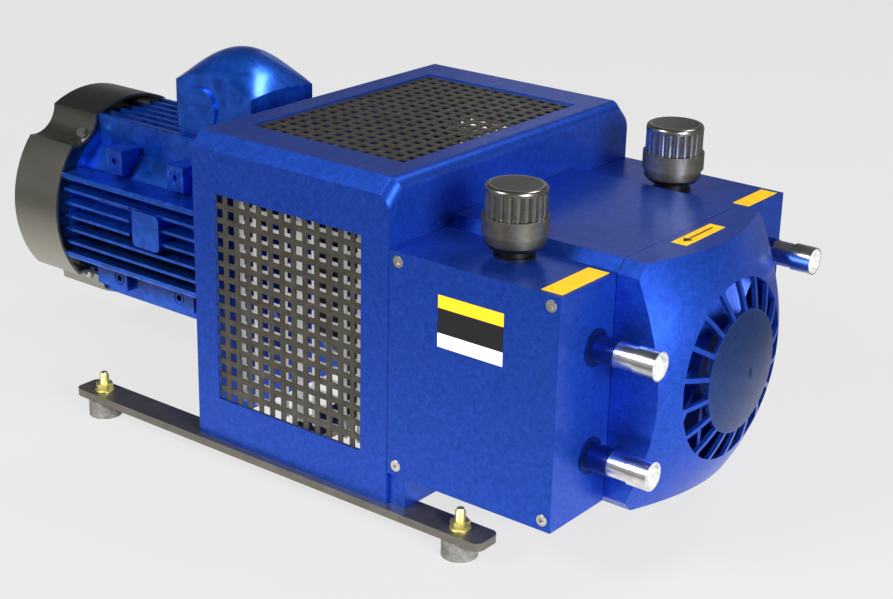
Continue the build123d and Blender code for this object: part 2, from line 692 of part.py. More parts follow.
def filter_cartridge(sign):
    """Round filter that stands against the inner wall of a chamber, below the port."""
    middle = (CHAMBER_REAR + CHAMBER_FRONT) / 2
    ring = Circle(FILTER_RADIUS) - Circle(FILTER_BORE)
    y = sign * (SHROUD_HALF_WIDTH + CHAMBER_WALL + FILTER_RADIUS)
    rise = CHAMBER_BOTTOM + CHAMBER_WALL + FILTER_RADIUS - AXIS_Z
    half = FILTER_LENGTH / 2
    return slice_x(Pos(y, rise) * ring, middle - half, middle + half)


def filter_cartridges():
    """The filters of both chambers."""
    return [filter_cartridge(sign) for sign in SIDES.values()]


def hose_stub(y, rise):
    """Painted stub with a thin round flange on the chamber front."""
    flange_end = CHAMBER_FRONT + STUB_FLANGE_THICKNESS
    stub = rod_x(STUB_FLANGE_RADIUS, CHAMBER_FRONT, flange_end, y, rise)
    stub += rod_x(STUB_RADIUS, flange_end, CHAMBER_FRONT + STUB_LENGTH, y, rise)
    return stub - rod_x(NOZZLE_BORE, CHAMBER_FRONT - OVERRUN, CHAMBER_FRONT + STUB_LENGTH + OVERRUN, y, rise)


def hose_stubs():
    """The stubs of both chambers."""
    return [hose_stub(y, rise) for name in SIDES for y, rise in nozzle_places(name).values()]


def hose_tail(y, rise):
    """Steel hose tail with a wider, thin-walled sleeve over its outer half."""
    start = CHAMBER_FRONT + STUB_LENGTH
    end = start + TAIL_LENGTH
    tail = rod_x(TAIL_RADIUS, start, start + TAIL_STEP, y, rise)
    tail += rod_x(TAIL_SLEEVE_RADIUS, start + TAIL_STEP, end, y, rise)
    tail -= rod_x(TAIL_MOUTH_RADIUS, end - TAIL_MOUTH_DEPTH, end + OVERRUN, y, rise)
    return tail - rod_x(NOZZLE_BORE, start - OVERRUN, end + OVERRUN, y, rise)


# Regulating valve: body, fluted knob on a captive spindle, spring plate, spring and disc

def valve_levels():
    """Heights inside a regulating valve, by name."""
    collar_bottom = CHAMBER_TOP + VALVE_NECK_HEIGHT
    waist_bottom = collar_bottom + COLLAR_TAPER_HEIGHT
    lip_bottom = waist_bottom + COLLAR_WAIST_HEIGHT
    collar_top = lip_bottom + COLLAR_LIP_HEIGHT
    seat_bottom = CHAMBER_TOP - VALVE_SKIRT_DEPTH
    seat_top = seat_bottom + SEAT_THICKNESS
    roof = collar_top - VALVE_ROOF
    plate_top = roof - SPINDLE_COLLAR_HEIGHT - NUT_PLATE_DROP
    disc_bottom = seat_top + BODY_GAP
    return {"collar_bottom": collar_bottom, "waist_bottom": waist_bottom, "lip_bottom": lip_bottom,
            "collar_top": collar_top, "seat_bottom": seat_bottom,
            "seat_top": seat_top, "roof": roof, "plate_top": plate_top,
            "disc_bottom": disc_bottom, "disc_top": disc_bottom + DISC_THICKNESS}


def valve_body(sign):
    """Turned body: skirt inside the chamber, flange, neck and a collar with a wide lip."""
    level = valve_levels()
    flange_top = CHAMBER_TOP + VALVE_FLANGE_THICKNESS
    shaft_hole = SPINDLE_RADIUS + RUNNING_FIT
    points = [(SEAT_HOLE_RADIUS, level["seat_bottom"]), (VALVE_SKIRT_RADIUS, level["seat_bottom"]),
              (VALVE_SKIRT_RADIUS, CHAMBER_TOP), (VALVE_FLANGE_RADIUS, CHAMBER_TOP),
              (VALVE_FLANGE_RADIUS, flange_top), (VALVE_SKIRT_RADIUS, flange_top),
              (VALVE_SKIRT_RADIUS, level["collar_bottom"]), (COLLAR_BOTTOM_RADIUS, level["collar_bottom"]),
              (COLLAR_WAIST_RADIUS, level["waist_bottom"]), (COLLAR_WAIST_RADIUS, level["lip_bottom"]),
              (COLLAR_LIP_RADIUS, level["lip_bottom"]), (COLLAR_LIP_RADIUS, level["collar_top"]),
              (shaft_hole, level["collar_top"]),
              (shaft_hole, level["roof"]), (VALVE_BORE, level["roof"]),
              (VALVE_BORE, level["seat_top"]), (SEAT_HOLE_RADIUS, level["seat_top"])]
    return turned_z(points, VALVE_X, sign * VALVE_Y)


def knob(sign):
    """Cap with wide round ribs in its side under a crown with a rounded edge."""
    bottom = valve_levels()["collar_top"] + BODY_GAP
    crown = rod_z(KNOB_RADIUS, KNOB_HEIGHT - KNOB_CROWN, KNOB_HEIGHT)
    crown = fillet(crown.edges().group_by(Axis.Z)[-1], KNOB_EDGE)
    cap = crown + rod_z(KNOB_RADIUS - KNOB_GROOVE_DEPTH, 0, KNOB_HEIGHT - KNOB_CROWN)
    for place in PolarLocations(KNOB_RADIUS - KNOB_RIB_RADIUS, KNOB_RIBS):
        cap += place * rod_z(KNOB_RIB_RADIUS, 0, KNOB_HEIGHT - KNOB_CROWN)
    cap -= rod_z(SPINDLE_RADIUS, -OVERRUN, KNOB_HEIGHT / 2)
    return Pos(VALVE_X, sign * VALVE_Y, bottom) * cap


def spindle(sign):
    """Spindle held by a collar under the roof of the valve body."""
    level = valve_levels()
    x, y = VALVE_X, sign * VALVE_Y
    low = level["plate_top"] - NUT_PLATE_THICKNESS - 2 * BODY_GAP
    high = level["collar_top"] + BODY_GAP + KNOB_HEIGHT / 2
    collar_top = level["roof"] - BODY_GAP
    rod = rod_z(SPINDLE_RADIUS, low, high, x, y)
    return rod + rod_z(SPINDLE_COLLAR_RADIUS, collar_top - SPINDLE_COLLAR_HEIGHT, collar_top, x, y)


def spring_plate(sign):
    """Threaded plate that the spindle draws along the valve bore."""
    outline = Circle(VALVE_BORE - NUT_PLATE_GAP) - Circle(SPINDLE_RADIUS + RUNNING_FIT)
    place = Pos(VALVE_X, sign * VALVE_Y, valve_levels()["plate_top"] - NUT_PLATE_THICKNESS)
    return extrude(place * outline, amount=NUT_PLATE_THICKNESS)


def relief_disc(sign):
    """Disc on the valve seat with a short stem that centres the spring."""
    level = valve_levels()
    x, y = VALVE_X, sign * VALVE_Y
    disc = rod_z(DISC_RADIUS, level["disc_bottom"], level["disc_top"], x, y)
    return disc + rod_z(DISC_STEM_RADIUS, level["disc_top"], level["disc_top"] + DISC_STEM_HEIGHT, x, y)


def valve_spring(sign):
    """Coil spring between the disc and the spring plate."""
    level = valve_levels()
    low = level["disc_top"] + SPRING_WIRE / 2
    high = level["plate_top"] - NUT_PLATE_THICKNESS - SPRING_WIRE / 2
    height = high - low
    path = Helix(height / SPRING_TURNS, height, SPRING_RADIUS)
    start = Plane(origin=path @ 0, z_dir=path % 0)
    coil = sweep(start * Rectangle(SPRING_WIRE, SPRING_WIRE), path=path, is_frenet=True)
    return Pos(VALVE_X, sign * VALVE_Y, low) * coil


# Rotating group of the pump

def pump_shaft():
    """Shaft from the coupling through both covers into the fan."""
    return rod_x(SHAFT_RADIUS, coupling_stations()[2], FAN_FRONT)


def slot_outline(width, depth, drop):
    """Outline of one vane or slot at the top of the rotor."""
    top = ROTOR_RADIUS - drop
    return Pos(0, top - depth / 2) * Rectangle(width, depth)


def around(count, shape):
    """Copies of an outline turned evenly about the shaft."""
    return [Rot(0, 0, number * 360 / count) * shape for number in range(count)]


def pump_rotor():
    """Rotor with straight vane slots."""
    depth = VANE_SLOT_DEPTH + OVERRUN
    slots = around(VANE_COUNT, slot_outline(VANE_SLOT_WIDTH, depth, -OVERRUN))
    outline = Circle(ROTOR_RADIUS) - Circle(SHAFT_RADIUS) - slots
    return slice_x(outline, CYLINDER_REAR + ROTOR_END_GAP, CYLINDER_FRONT - ROTOR_END_GAP)


def vanes():
    """Carbon vanes, drawn fully home in their slots."""
    depth = VANE_SLOT_DEPTH - VANE_TIP_DROP
    width = VANE_SLOT_WIDTH - 2 * VANE_SIDE_GAP
    shapes = around(VANE_COUNT, slot_outline(width, depth, VANE_TIP_DROP))
    return [slice_x(shape, CYLINDER_REAR + ROTOR_END_GAP, CYLINDER_FRONT - ROTOR_END_GAP) for shape in shapes]


def fan_wheel(hub_radius, tip_radius, length, blades, thickness, pitch):
    """Hub with flat blades set at an angle, drawn from x = 0 with its bore open."""
    hub = rod_x(hub_radius, 0, length)
    blade_width = length * FAN_BLADE_SHARE / math.cos(math.radians(pitch))
    reach = tip_radius - hub_radius + FAN_BLADE_ROOT
    blade = Box(blade_width, thickness, reach)
    blade = Pos(length / 2, 0, hub_radius - FAN_BLADE_ROOT + reach / 2) * Rot(0, 0, pitch) * blade
    for number in range(blades):
        turn = Pos(0, 0, AXIS_Z) * Rot(number * 360 / blades, 0, 0)
        hub += turn * blade
    return hub & rod_x(tip_radius, 0, length) - rod_x(SHAFT_RADIUS, -OVERRUN, length + OVERRUN)


def pump_fan():
    """Cooling fan behind the vent ring."""
    wheel = fan_wheel(FAN_HUB_RADIUS, FAN_TIP_RADIUS, FAN_FRONT - FAN_REAR, FAN_BLADES,
                      FAN_BLADE_THICKNESS, FAN_BLADE_PITCH)
    return Pos(FAN_REAR, 0, 0) * wheel


# Jaw coupling

def coupling_stations():
    """Motor hub start, motor hub face, pump hub face and pump hub end along X."""
    start = MOTOR_FACE + COUPLING_FROM_FLANGE
    face = start + COUPLING_HUB_LENGTH
    other = face + COUPLING_JAW_LENGTH + COUPLING_END_GAP
    return start, face, other, other + COUPLING_HUB_LENGTH


def sector(inner, outer, angle, turn):
    """Ring sector about the shaft centre."""
    half = math.radians(angle / 2)
    reach = 2 * outer
    wedge = make_face(Polyline((0, 0), (reach * math.cos(half), -reach * math.sin(half)),
                               (reach * math.cos(half), reach * math.sin(half)), close=True))
    return (Circle(outer) - Circle(inner)) & (Rot(0, 0, turn) * wedge)


def coupling_hub(x0, x1, jaw0, jaw1, turn):
    """Hub with jaws on one face."""
    hub = slice_x(Circle(COUPLING_RADIUS) - Circle(SHAFT_RADIUS), x0, x1)
    for number in range(COUPLING_JAWS):
        angle = turn + number * 360 / COUPLING_JAWS
        hub += slice_x(sector(SHAFT_RADIUS, COUPLING_RADIUS, COUPLING_JAW_ANGLE, angle), jaw0, jaw1)
    return hub


def coupling_hub_motor():
    """Hub on the motor shaft."""
    start, face, _, _ = coupling_stations()
    return coupling_hub(start, face, face, face + COUPLING_JAW_LENGTH, 0)


def coupling_hub_pump():
    """Hub on the pump shaft, its jaws between those of the motor hub."""
    _, _, other, end = coupling_stations()
    return coupling_hub(other, end, other - COUPLING_JAW_LENGTH, other, 180 / COUPLING_JAWS)


def coupling_spider():
    """Elastic star between the jaws."""
    _, face, other, _ = coupling_stations()
    outline = Circle(SHAFT_RADIUS - BODY_GAP)
    for number in range(2 * COUPLING_JAWS):
        turn = (number + 0.5) * 180 / COUPLING_JAWS
        outline += sector(SPIDER_BORE, SPIDER_RADIUS, SPIDER_ARM_ANGLE, turn)
    outline -= Circle(SPIDER_BORE)
    return slice_x(outline, face + COUPLING_END_GAP, other - COUPLING_END_GAP)


# Motor

def fin_bars():
    """Outlines of the cooling fins, crossing behind the motor core."""
    bars = []
    reach = 2 * MOTOR_FIN_REACH
    for number in range(-MOTOR_FINS_EACH_WAY, MOTOR_FINS_EACH_WAY + 1):
        outer = abs(number) == MOTOR_FINS_EACH_WAY
        thick = MOTOR_OUTER_FIN_THICKNESS if outer else MOTOR_FIN_THICKNESS
        place = number * MOTOR_FIN_PITCH
        bars.append(Pos(0, place) * Rectangle(reach, thick))
        bars.append(Pos(place, 0) * Rectangle(thick, reach))
    return bars


def corner_pads(x0, x1, upright):
    """Square pads on the two corners above or below the motor."""
    z0 = AXIS_Z + upright * (PAD_FACE_Z - PAD_DEPTH)
    z1 = AXIS_Z + upright * PAD_FACE_Z
    pads = []
    for sign in SIDES.values():
        y0, y1 = side_ranges(sign, PAD_FACE_Y - PAD_DEPTH, PAD_FACE_Y)
        pads.append(block(x0, x1, y0, y1, min(z0, z1), max(z0, z1)))
    return pads


def plate_boss_places():
    """Middle of the plate boss along the shaft and in height."""
    return MOTOR_REAR + PLATE_BOSS_STATION, AXIS_Z + PLATE_BOSS_RISE


def motor_housing():
    """Finned frame with corner pads, foot bars, a plate boss and the terminal box seat."""
    core = (Circle(MOTOR_CORE_RADIUS) + fin_bars()) & Circle(MOTOR_CORNER_RADIUS)
    body = slice_x(core, MOTOR_REAR, MOTOR_FRONT)
    x, z = plate_boss_places()
    half = PLATE_BOSS_SIZE / 2
    gap = half + PLATE_POCKET_MARGIN
    body -= block(x - gap, x + half, -OUTER_Y, -MOTOR_CORE_RADIUS, z - half, z + half)
    face = Plane((x, -PLATE_BOSS_FACE, z), x_dir=(1, 0, 0), z_dir=(0, 1, 0))
    root = PLATE_BOSS_FACE - math.sqrt(MOTOR_CORE_RADIUS ** 2 - (half + PLATE_BOSS_RISE) ** 2)
    body += extrude(face * RectangleRounded(2 * half, 2 * half, PLATE_BOSS_CORNER), amount=root)
    for station in PAD_STATIONS:
        middle = MOTOR_REAR + station
        body += corner_pads(middle - PAD_LENGTH / 2, middle + PAD_LENGTH / 2, 1)
    body += corner_pads(MOTOR_REAR + FOOT_BAR_REAR, MOTOR_REAR + FOOT_BAR_FRONT, -1)
    body -= foot_bar_pockets() + pad_holes()
    x = MOTOR_REAR + TERMINAL_STATION
    half = TERMINAL_WIDTH / 2 - TERMINAL_SEAT_INSET
    reach = TERMINAL_LENGTH / 2 - TERMINAL_SEAT_INSET
    low = AXIS_Z + MOTOR_CORE_RADIUS / 2
    body += block(x - reach, x + reach, -half, half, low, AXIS_Z + TERMINAL_BASE_ABOVE_AXIS)
    return body - rod_x(MOTOR_BORE_RADIUS, MOTOR_REAR - OVERRUN, MOTOR_FRONT + OVERRUN)


def pad_holes():
    """Bolt holes in the outer faces of the pads and foot bars, each in a round groove."""
    height = PAD_FACE_Z - PAD_HOLE_DROP
    holes = []
    for station in PAD_STATIONS:
        for sign in SIDES.values():
            for rise in (-height, height):
                y0, y1 = side_ranges(sign, PAD_FACE_Y - PAD_HOLE_DEPTH, PAD_FACE_Y + OVERRUN)
                holes.append(rod_y(PAD_HOLE_RADIUS, y0, y1, MOTOR_REAR + station, AXIS_Z + rise))
                y0, y1 = side_ranges(sign, PAD_FACE_Y - PAD_RING_DEPTH, PAD_FACE_Y + OVERRUN)
                ring = rod_y(PAD_RING_RADIUS, y0, y1, MOTOR_REAR + station, AXIS_Z + rise)
                ring -= rod_y(PAD_RING_RADIUS - PAD_RING_WIDTH, y0, y1, MOTOR_REAR + station, AXIS_Z + rise)
                holes.append(ring)
    return holes


def foot_bar_pockets():
    """Recess in the outer face of each foot bar, between its two bolt places."""
    x0 = MOTOR_REAR + PAD_STATIONS[0] + PAD_LENGTH / 2
    z1 = AXIS_Z - PAD_FACE_Z + PAD_DEPTH - FOOT_POCKET_RIM
    pockets = []
    for sign in SIDES.values():
        y0, y1 = side_ranges(sign, PAD_FACE_Y - FOOT_POCKET_DEPTH, PAD_FACE_Y + OVERRUN)
        pockets.append(block(x0, x0 + FOOT_BAR_POCKET, y0, y1, AXIS_Z - PAD_FACE_Z - OVERRUN, z1))
    return pockets


def motor_front_shield():
    """Cup with the motor's front bearing and the flange that meets the lantern."""
    flange = MOTOR_FACE - MOTOR_SHIELD_WALL
    body = rod_x(MOTOR_SHIELD_RADIUS, MOTOR_FRONT, flange)
    body += rod_x(LANTERN_FLANGE_RADIUS, flange, MOTOR_FACE)
    pocket_rear = flange - BEARING_WIDTH
    body -= rod_x(MOTOR_BORE_RADIUS, MOTOR_FRONT - OVERRUN, pocket_rear - MOTOR_SHIELD_WALL)
    body -= rod_x(BEARING_RADIUS, pocket_rear - MOTOR_SHIELD_WALL - OVERRUN, flange)
    return body - rod_x(SHAFT_RADIUS + SHAFT_HOLE_CLEARANCE, flange - OVERRUN, MOTOR_FACE + OVERRUN)


def motor_rear_shield():
    """Disc that closes the motor frame and holds the rear bearing and the cowl bolts."""
    start = MOTOR_REAR - MOTOR_REAR_SHIELD_THICKNESS
    body = rod_x(MOTOR_REAR_SHIELD_RADIUS, start, MOTOR_REAR)
    body -= rod_x(BEARING_RADIUS, MOTOR_REAR - BEARING_WIDTH, MOTOR_REAR + OVERRUN)
    body -= rod_x(SHAFT_RADIUS + SHAFT_HOLE_CLEARANCE, start - OVERRUN, MOTOR_REAR)
    return body - cowl_bolt_rods(COWL_BOLT_RADIUS)


def stator_middle():
    """Middle of the stator and the rotor along the shaft."""
    return (MOTOR_REAR + MOTOR_FRONT) / 2


def stator_core():
    """Laminated ring pressed into the motor frame."""
    ring = Circle(MOTOR_BORE_RADIUS) - Circle(STATOR_INNER_RADIUS)
    half = STATOR_LENGTH / 2
    return slice_x(ring, stator_middle() - half, stator_middle() + half)


def motor_rotor():
    """Rotor core on the motor shaft."""
    ring = Circle(STATOR_INNER_RADIUS - AIR_GAP) - Circle(SHAFT_RADIUS)
    half = STATOR_LENGTH / 2
    return slice_x(ring, stator_middle() - half, stator_middle() + half)


def motor_fan_start():
    """Rear face of the motor fan."""
    return MOTOR_REAR - MOTOR_REAR_SHIELD_THICKNESS - MOTOR_FAN_GAP - MOTOR_FAN_LENGTH


def motor_shaft():
    """Motor shaft from the fan to the coupling."""
    return rod_x(SHAFT_RADIUS, motor_fan_start(), coupling_stations()[1])


def motor_fan():
    """Fan with straight blades behind the rear shield."""
    wheel = fan_wheel(MOTOR_FAN_HUB_RADIUS, MOTOR_FAN_RADIUS, MOTOR_FAN_LENGTH, MOTOR_FAN_BLADES,
                      FAN_BLADE_THICKNESS, 0)
    return Pos(motor_fan_start(), 0, 0) * wheel


def cowl_outline(inset):
    """Round outline with four hollow grooves, across the shaft."""
    outline = Circle(MOTOR_COWL_RADIUS - inset)
    for angle in groove_angles():
        outline -= Rot(0, 0, angle) * Pos(GROOVE_CENTRE, 0) * Circle(GROOVE_RADIUS + inset)
    return outline


def groove_angles():
    """Directions of the four grooves, from +Y towards +Z."""
    return GROOVE_ANGLE, 180 - GROOVE_ANGLE, 180 + GROOVE_ANGLE, 360 - GROOVE_ANGLE


def cowl_bolt_x():
    """Place of the cowl bolts along the shaft."""
    return MOTOR_REAR - MOTOR_REAR_SHIELD_THICKNESS / 2


def cowl_bolt_rods(radius):
    """Bars along the four cowl bolts, from inside the rear shield to the cowl's outer face."""
    outer = GROOVE_CENTRE - GROOVE_RADIUS + COWL_BOLT_SEAT
    length = outer - MOTOR_REAR_SHIELD_RADIUS + COWL_BOLT_DEPTH
    rods = []
    for angle in groove_angles():
        rod = Pos(cowl_bolt_x(), 0, outer - length / 2) * Cylinder(radius, length)
        rods.append(Pos(0, 0, AXIS_Z) * Rot(angle - 90, 0, 0) * rod)
    return rods


def cowl_bolts():
    """Hexagon bolts that hold the cowl in the bottoms of its grooves."""
    outer = GROOVE_CENTRE - GROOVE_RADIUS + COWL_BOLT_SEAT
    bolts = []
    for angle, rod in zip(groove_angles(), cowl_bolt_rods(COWL_BOLT_RADIUS)):
        outline = RegularPolygon(COWL_BOLT_FLATS / 2, 6, major_radius=False)
        head = extrude(Pos(cowl_bolt_x(), 0, outer) * outline, amount=COWL_BOLT_HEAD)
        bolts.append(rod + Pos(0, 0, AXIS_Z) * Rot(angle - 90, 0, 0) * head)
    return bolts


def motor_fan_cowl():
    """Sheet cowl with air slots in its end."""
    body = slice_x(cowl_outline(0), REAR_END, MOTOR_REAR)
    body -= slice_x(cowl_outline(MOTOR_COWL_WALL), REAR_END + MOTOR_COWL_WALL, MOTOR_REAR + OVERRUN)
    length = COWL_SLOT_OUTER - COWL_SLOT_INNER
    slot = Pos((COWL_SLOT_OUTER + COWL_SLOT_INNER) / 2, 0) * Rectangle(length, COWL_SLOT_WIDTH)
    for outline in around(COWL_SLOTS, slot):
        body -= slice_x(outline, REAR_END - OVERRUN, REAR_END + MOTOR_COWL_WALL + OVERRUN)
    return body - cowl_bolt_rods(COWL_BOLT_RADIUS)


# Terminal box: walls with arched upper edges under a domed lid

def arched(x, edge, crown):
    """Section across the box with straight sides and an arched top."""
    half = TERMINAL_WIDTH / 2
    base = TERMINAL_BASE_ABOVE_AXIS
    left, right = (-half, base + edge), (half, base + edge)
    outline = Curve() + [
        Polyline(left, (-half, base), (half, base), right),
        ThreePointArc(right, (0, base + crown), left),
    ]
    return section(x) * make_face(outline)


def terminal_block():
    """Whole outer form of the terminal box and its lid."""
    middle = MOTOR_REAR + TERMINAL_STATION
    half = TERMINAL_LENGTH / 2
    corner = TERMINAL_CORNER_HEIGHT
    end_crown = corner + TERMINAL_END_BULGE
    side = corner + TERMINAL_SIDE_BULGE
    sections = [arched(middle - half, corner, end_crown), arched(middle, side, side + TERMINAL_CROWN),
                arched(middle + half, corner, end_crown)]
    solid = loft(sections)
    rear = [edge for edge in solid.edges()
            if abs(edge.center().X - middle + half) < 0.01
            and abs(abs(edge.center().Y) - TERMINAL_WIDTH / 2) < 0.01]
    return fillet(rear, TERMINAL_REAR_CORNER)


def terminal_box():
    """Walls and floor below the lid."""
    middle = MOTOR_REAR + TERMINAL_STATION
    half = TERMINAL_LENGTH / 2 - TERMINAL_WALL
    side = TERMINAL_WIDTH / 2 - TERMINAL_WALL
    base = AXIS_Z + TERMINAL_BASE_ABOVE_AXIS
    solid = terminal_block()
    walls = solid & Pos(0, 0, -TERMINAL_LID_THICKNESS) * solid
    top = base + TERMINAL_CORNER_HEIGHT + TERMINAL_SIDE_BULGE + TERMINAL_CROWN
    return walls - block(middle - half, middle + half, -side, side, base + TERMINAL_WALL, top)


def terminal_lid():
    """Domed lid of even thickness."""
    solid = terminal_block()
    return solid - Pos(0, 0, -TERMINAL_LID_THICKNESS) * solid


def terminal_plug():
    """Round blank plug on the near wall."""
    x = MOTOR_REAR + TERMINAL_STATION - TERMINAL_PLUG_OFFSET
    z = AXIS_Z + TERMINAL_BASE_ABOVE_AXIS + TERMINAL_PLUG_HEIGHT
    wall = TERMINAL_WIDTH / 2
    return rod_y(TERMINAL_PLUG_RADIUS, -wall - TERMINAL_PLUG_THICKNESS, -wall, x, z)


def save(node, made):
    """Write the solids of one node to its STEP file."""
    solids = [solid for shape in (made if isinstance(made, list) else [made]) for solid in shape.solids()]
    shape = solids[0] if len(solids) == 1 else Compound(solids)
    export_step(shape, os.path.join("parts", node + ".step"))


NODES = {
    "rubber_feet": lambda: at_each_foot(rubber_foot),
    "foot_studs": lambda: at_each_foot(foot_stud),
    "foot_nuts": lambda: at_each_foot(foot_nut),
    "cross_beams": cross_beams,
    "pump_pedestal": pump_pedestal,
    "lantern": lantern,
    "cage_shell": cage_shell,
    "top_grille": top_grille,
    "pump_shroud": pump_shroud,
    "cylinder_housing": cylinder_housing,
    "rear_end_cover": rear_end_cover,
    "front_end_cover": front_end_cover,
    "bearings": bearings,
    "fan_cowl": fan_cowl,
    "cover_screws": cover_screws,
    "hose_stubs": hose_stubs,
    "filter_cartridges": filter_cartridges,
    "pump_shaft": pump_shaft,
    "pump_rotor": pump_rotor,
    "vanes": vanes,
    "pump_fan": pump_fan,
    "coupling_hub_motor": coupling_hub_motor,
    "coupling_hub_pump": coupling_hub_pump,
    "coupling_spider": coupling_spider,
    "motor_housing": motor_housing,
    "motor_front_shield": motor_front_shield,
    "motor_rear_shield": motor_rear_shield,
    "stator_core": stator_core,
    "motor_rotor": motor_rotor,
    "motor_shaft": motor_shaft,
    "motor_fan": motor_fan,
    "motor_fan_cowl": motor_fan_cowl,
    "cowl_bolts": cowl_bolts,
    "terminal_box": terminal_box,
    "terminal_lid": terminal_lid,
    "terminal_plug": terminal_plug,
}

EACH_SIDE = {
    "base_rail": base_rail,
    "side_grille": side_grille,
    "chamber_cover": chamber_cover,
    "valve_body": valve_body,
    "knob": knob,
    "spindle": spindle,
    "spring_plate": spring_plate,
    "relief_disc": relief_disc,
    "valve_spring": valve_spring,
}

os.makedirs("parts", exist_ok=True)
for node, make in NODES.items():
    save(node, make())
for side, sign in SIDES.items():
    save("chamber_housing_" + side, chamber_housing(side, sign))
    for node, make in EACH_SIDE.items():
        save(node + "_" + side, make(sign))
    for label, (y, rise) in nozzle_places(side).items():
        save("hose_tail_" + side + "_" + label, hose_tail(y, rise))
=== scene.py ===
import bpy
import math
from mathutils import Matrix, Vector


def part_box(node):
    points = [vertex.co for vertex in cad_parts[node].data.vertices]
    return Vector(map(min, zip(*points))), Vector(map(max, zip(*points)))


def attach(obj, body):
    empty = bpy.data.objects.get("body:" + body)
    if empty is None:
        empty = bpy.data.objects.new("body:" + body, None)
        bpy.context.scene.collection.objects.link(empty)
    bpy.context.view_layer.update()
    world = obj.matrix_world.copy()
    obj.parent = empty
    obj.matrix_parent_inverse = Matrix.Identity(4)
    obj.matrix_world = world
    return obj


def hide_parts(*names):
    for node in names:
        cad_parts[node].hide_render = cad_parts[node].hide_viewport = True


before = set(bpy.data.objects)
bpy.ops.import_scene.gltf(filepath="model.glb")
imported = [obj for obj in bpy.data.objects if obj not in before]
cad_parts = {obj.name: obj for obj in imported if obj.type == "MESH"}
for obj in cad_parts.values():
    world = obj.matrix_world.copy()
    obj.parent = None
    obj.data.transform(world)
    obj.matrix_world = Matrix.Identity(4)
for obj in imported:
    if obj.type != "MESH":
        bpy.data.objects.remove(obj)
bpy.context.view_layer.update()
scene = bpy.context.scene
scene.view_settings.view_transform = "Standard"


# Camera: it looks down on the near side and the fan end of the machine, with a long lens,
# slightly rolled, as the photograph was taken.
CAMERA_PLACE = Vector((1.0935, -1.3110, 0.7842))
CAMERA_AZIMUTH = math.radians(37.435)
CAMERA_DIP = math.radians(20.957)
CAMERA_ROLL = math.radians(1.335)
CAMERA_LENS = 71.51
SENSOR_WIDTH = 36.0

forward = Vector((-math.sin(CAMERA_AZIMUTH) * math.cos(CAMERA_DIP),
                  math.cos(CAMERA_AZIMUTH) * math.cos(CAMERA_DIP),
                  -math.sin(CAMERA_DIP)))
level = forward.cross(Vector((0, 0, 1))).normalized()
upright = level.cross(forward)
right = level * math.cos(CAMERA_ROLL) + upright * math.sin(CAMERA_ROLL)
up = upright * math.cos(CAMERA_ROLL) - level * math.sin(CAMERA_ROLL)
camera_data = bpy.data.cameras.new("camera")
camera_data.sensor_fit = "HORIZONTAL"
camera_data.sensor_width = SENSOR_WIDTH
camera_data.lens = CAMERA_LENS
camera_data.clip_end = 50.0
camera = bpy.data.objects.new("camera", camera_data)
turn = Matrix((right, up, -forward)).transposed().to_4x4()
camera.matrix_world = Matrix.Translation(CAMERA_PLACE) @ turn
scene.collection.objects.link(camera)
scene.camera = camera


# Floor and studio light: a pale seamless floor that reads as one even grey white and mirrors as a
# pool of light round the machine, a soft sky that is darker overhead, and four soft lamps.
FLOOR_GREY = 0.80
FLOOR_SIZE = 40.0
FLOOR_SHADOW_SHARE = 0.10
POOL_HALF_LENGTH = 0.43
POOL_HALF_WIDTH = 0.20
POOL_EDGES = (1.3, 3.5)
POOL_GREYS = (0.95, 0.22)
SKY_STRENGTH = 0.75
SKY_STOPS = ((0.0, (0.62, 0.62, 0.63)), (0.12, (0.50, 0.50, 0.52)),
             (0.26, (0.16, 0.16, 0.1664)), (0.70, (0.08, 0.085, 0.10)))


def node_of(tree, kind, **inputs):
    """A shader node with some of its inputs set."""
    node = tree.nodes.new(kind)
    for key, value in inputs.items():
        node.inputs[key.replace("_", " ")].default_value = value
    return node


def ramp_of(tree, *stops):
    """A colour ramp with a stop for each (position, colour), from the lowest to the highest."""
    ramp = tree.nodes.new("ShaderNodeValToRGB")
    elements = ramp.color_ramp.elements
    for element, (position, colour) in zip(elements, (stops[0], stops[-1])):
        element.position = position
        element.color = (*colour, 1)
    for position, colour in stops[1:-1]:
        elements.new(position).color = (*colour, 1)
    return ramp


def new_material(name):
    """An empty node material and its output."""
    material = bpy.data.materials.new(name)
    material.use_nodes = True
    material.node_tree.nodes.clear()
    output = material.node_tree.nodes.new("ShaderNodeOutputMaterial")
    return material, material.node_tree, output


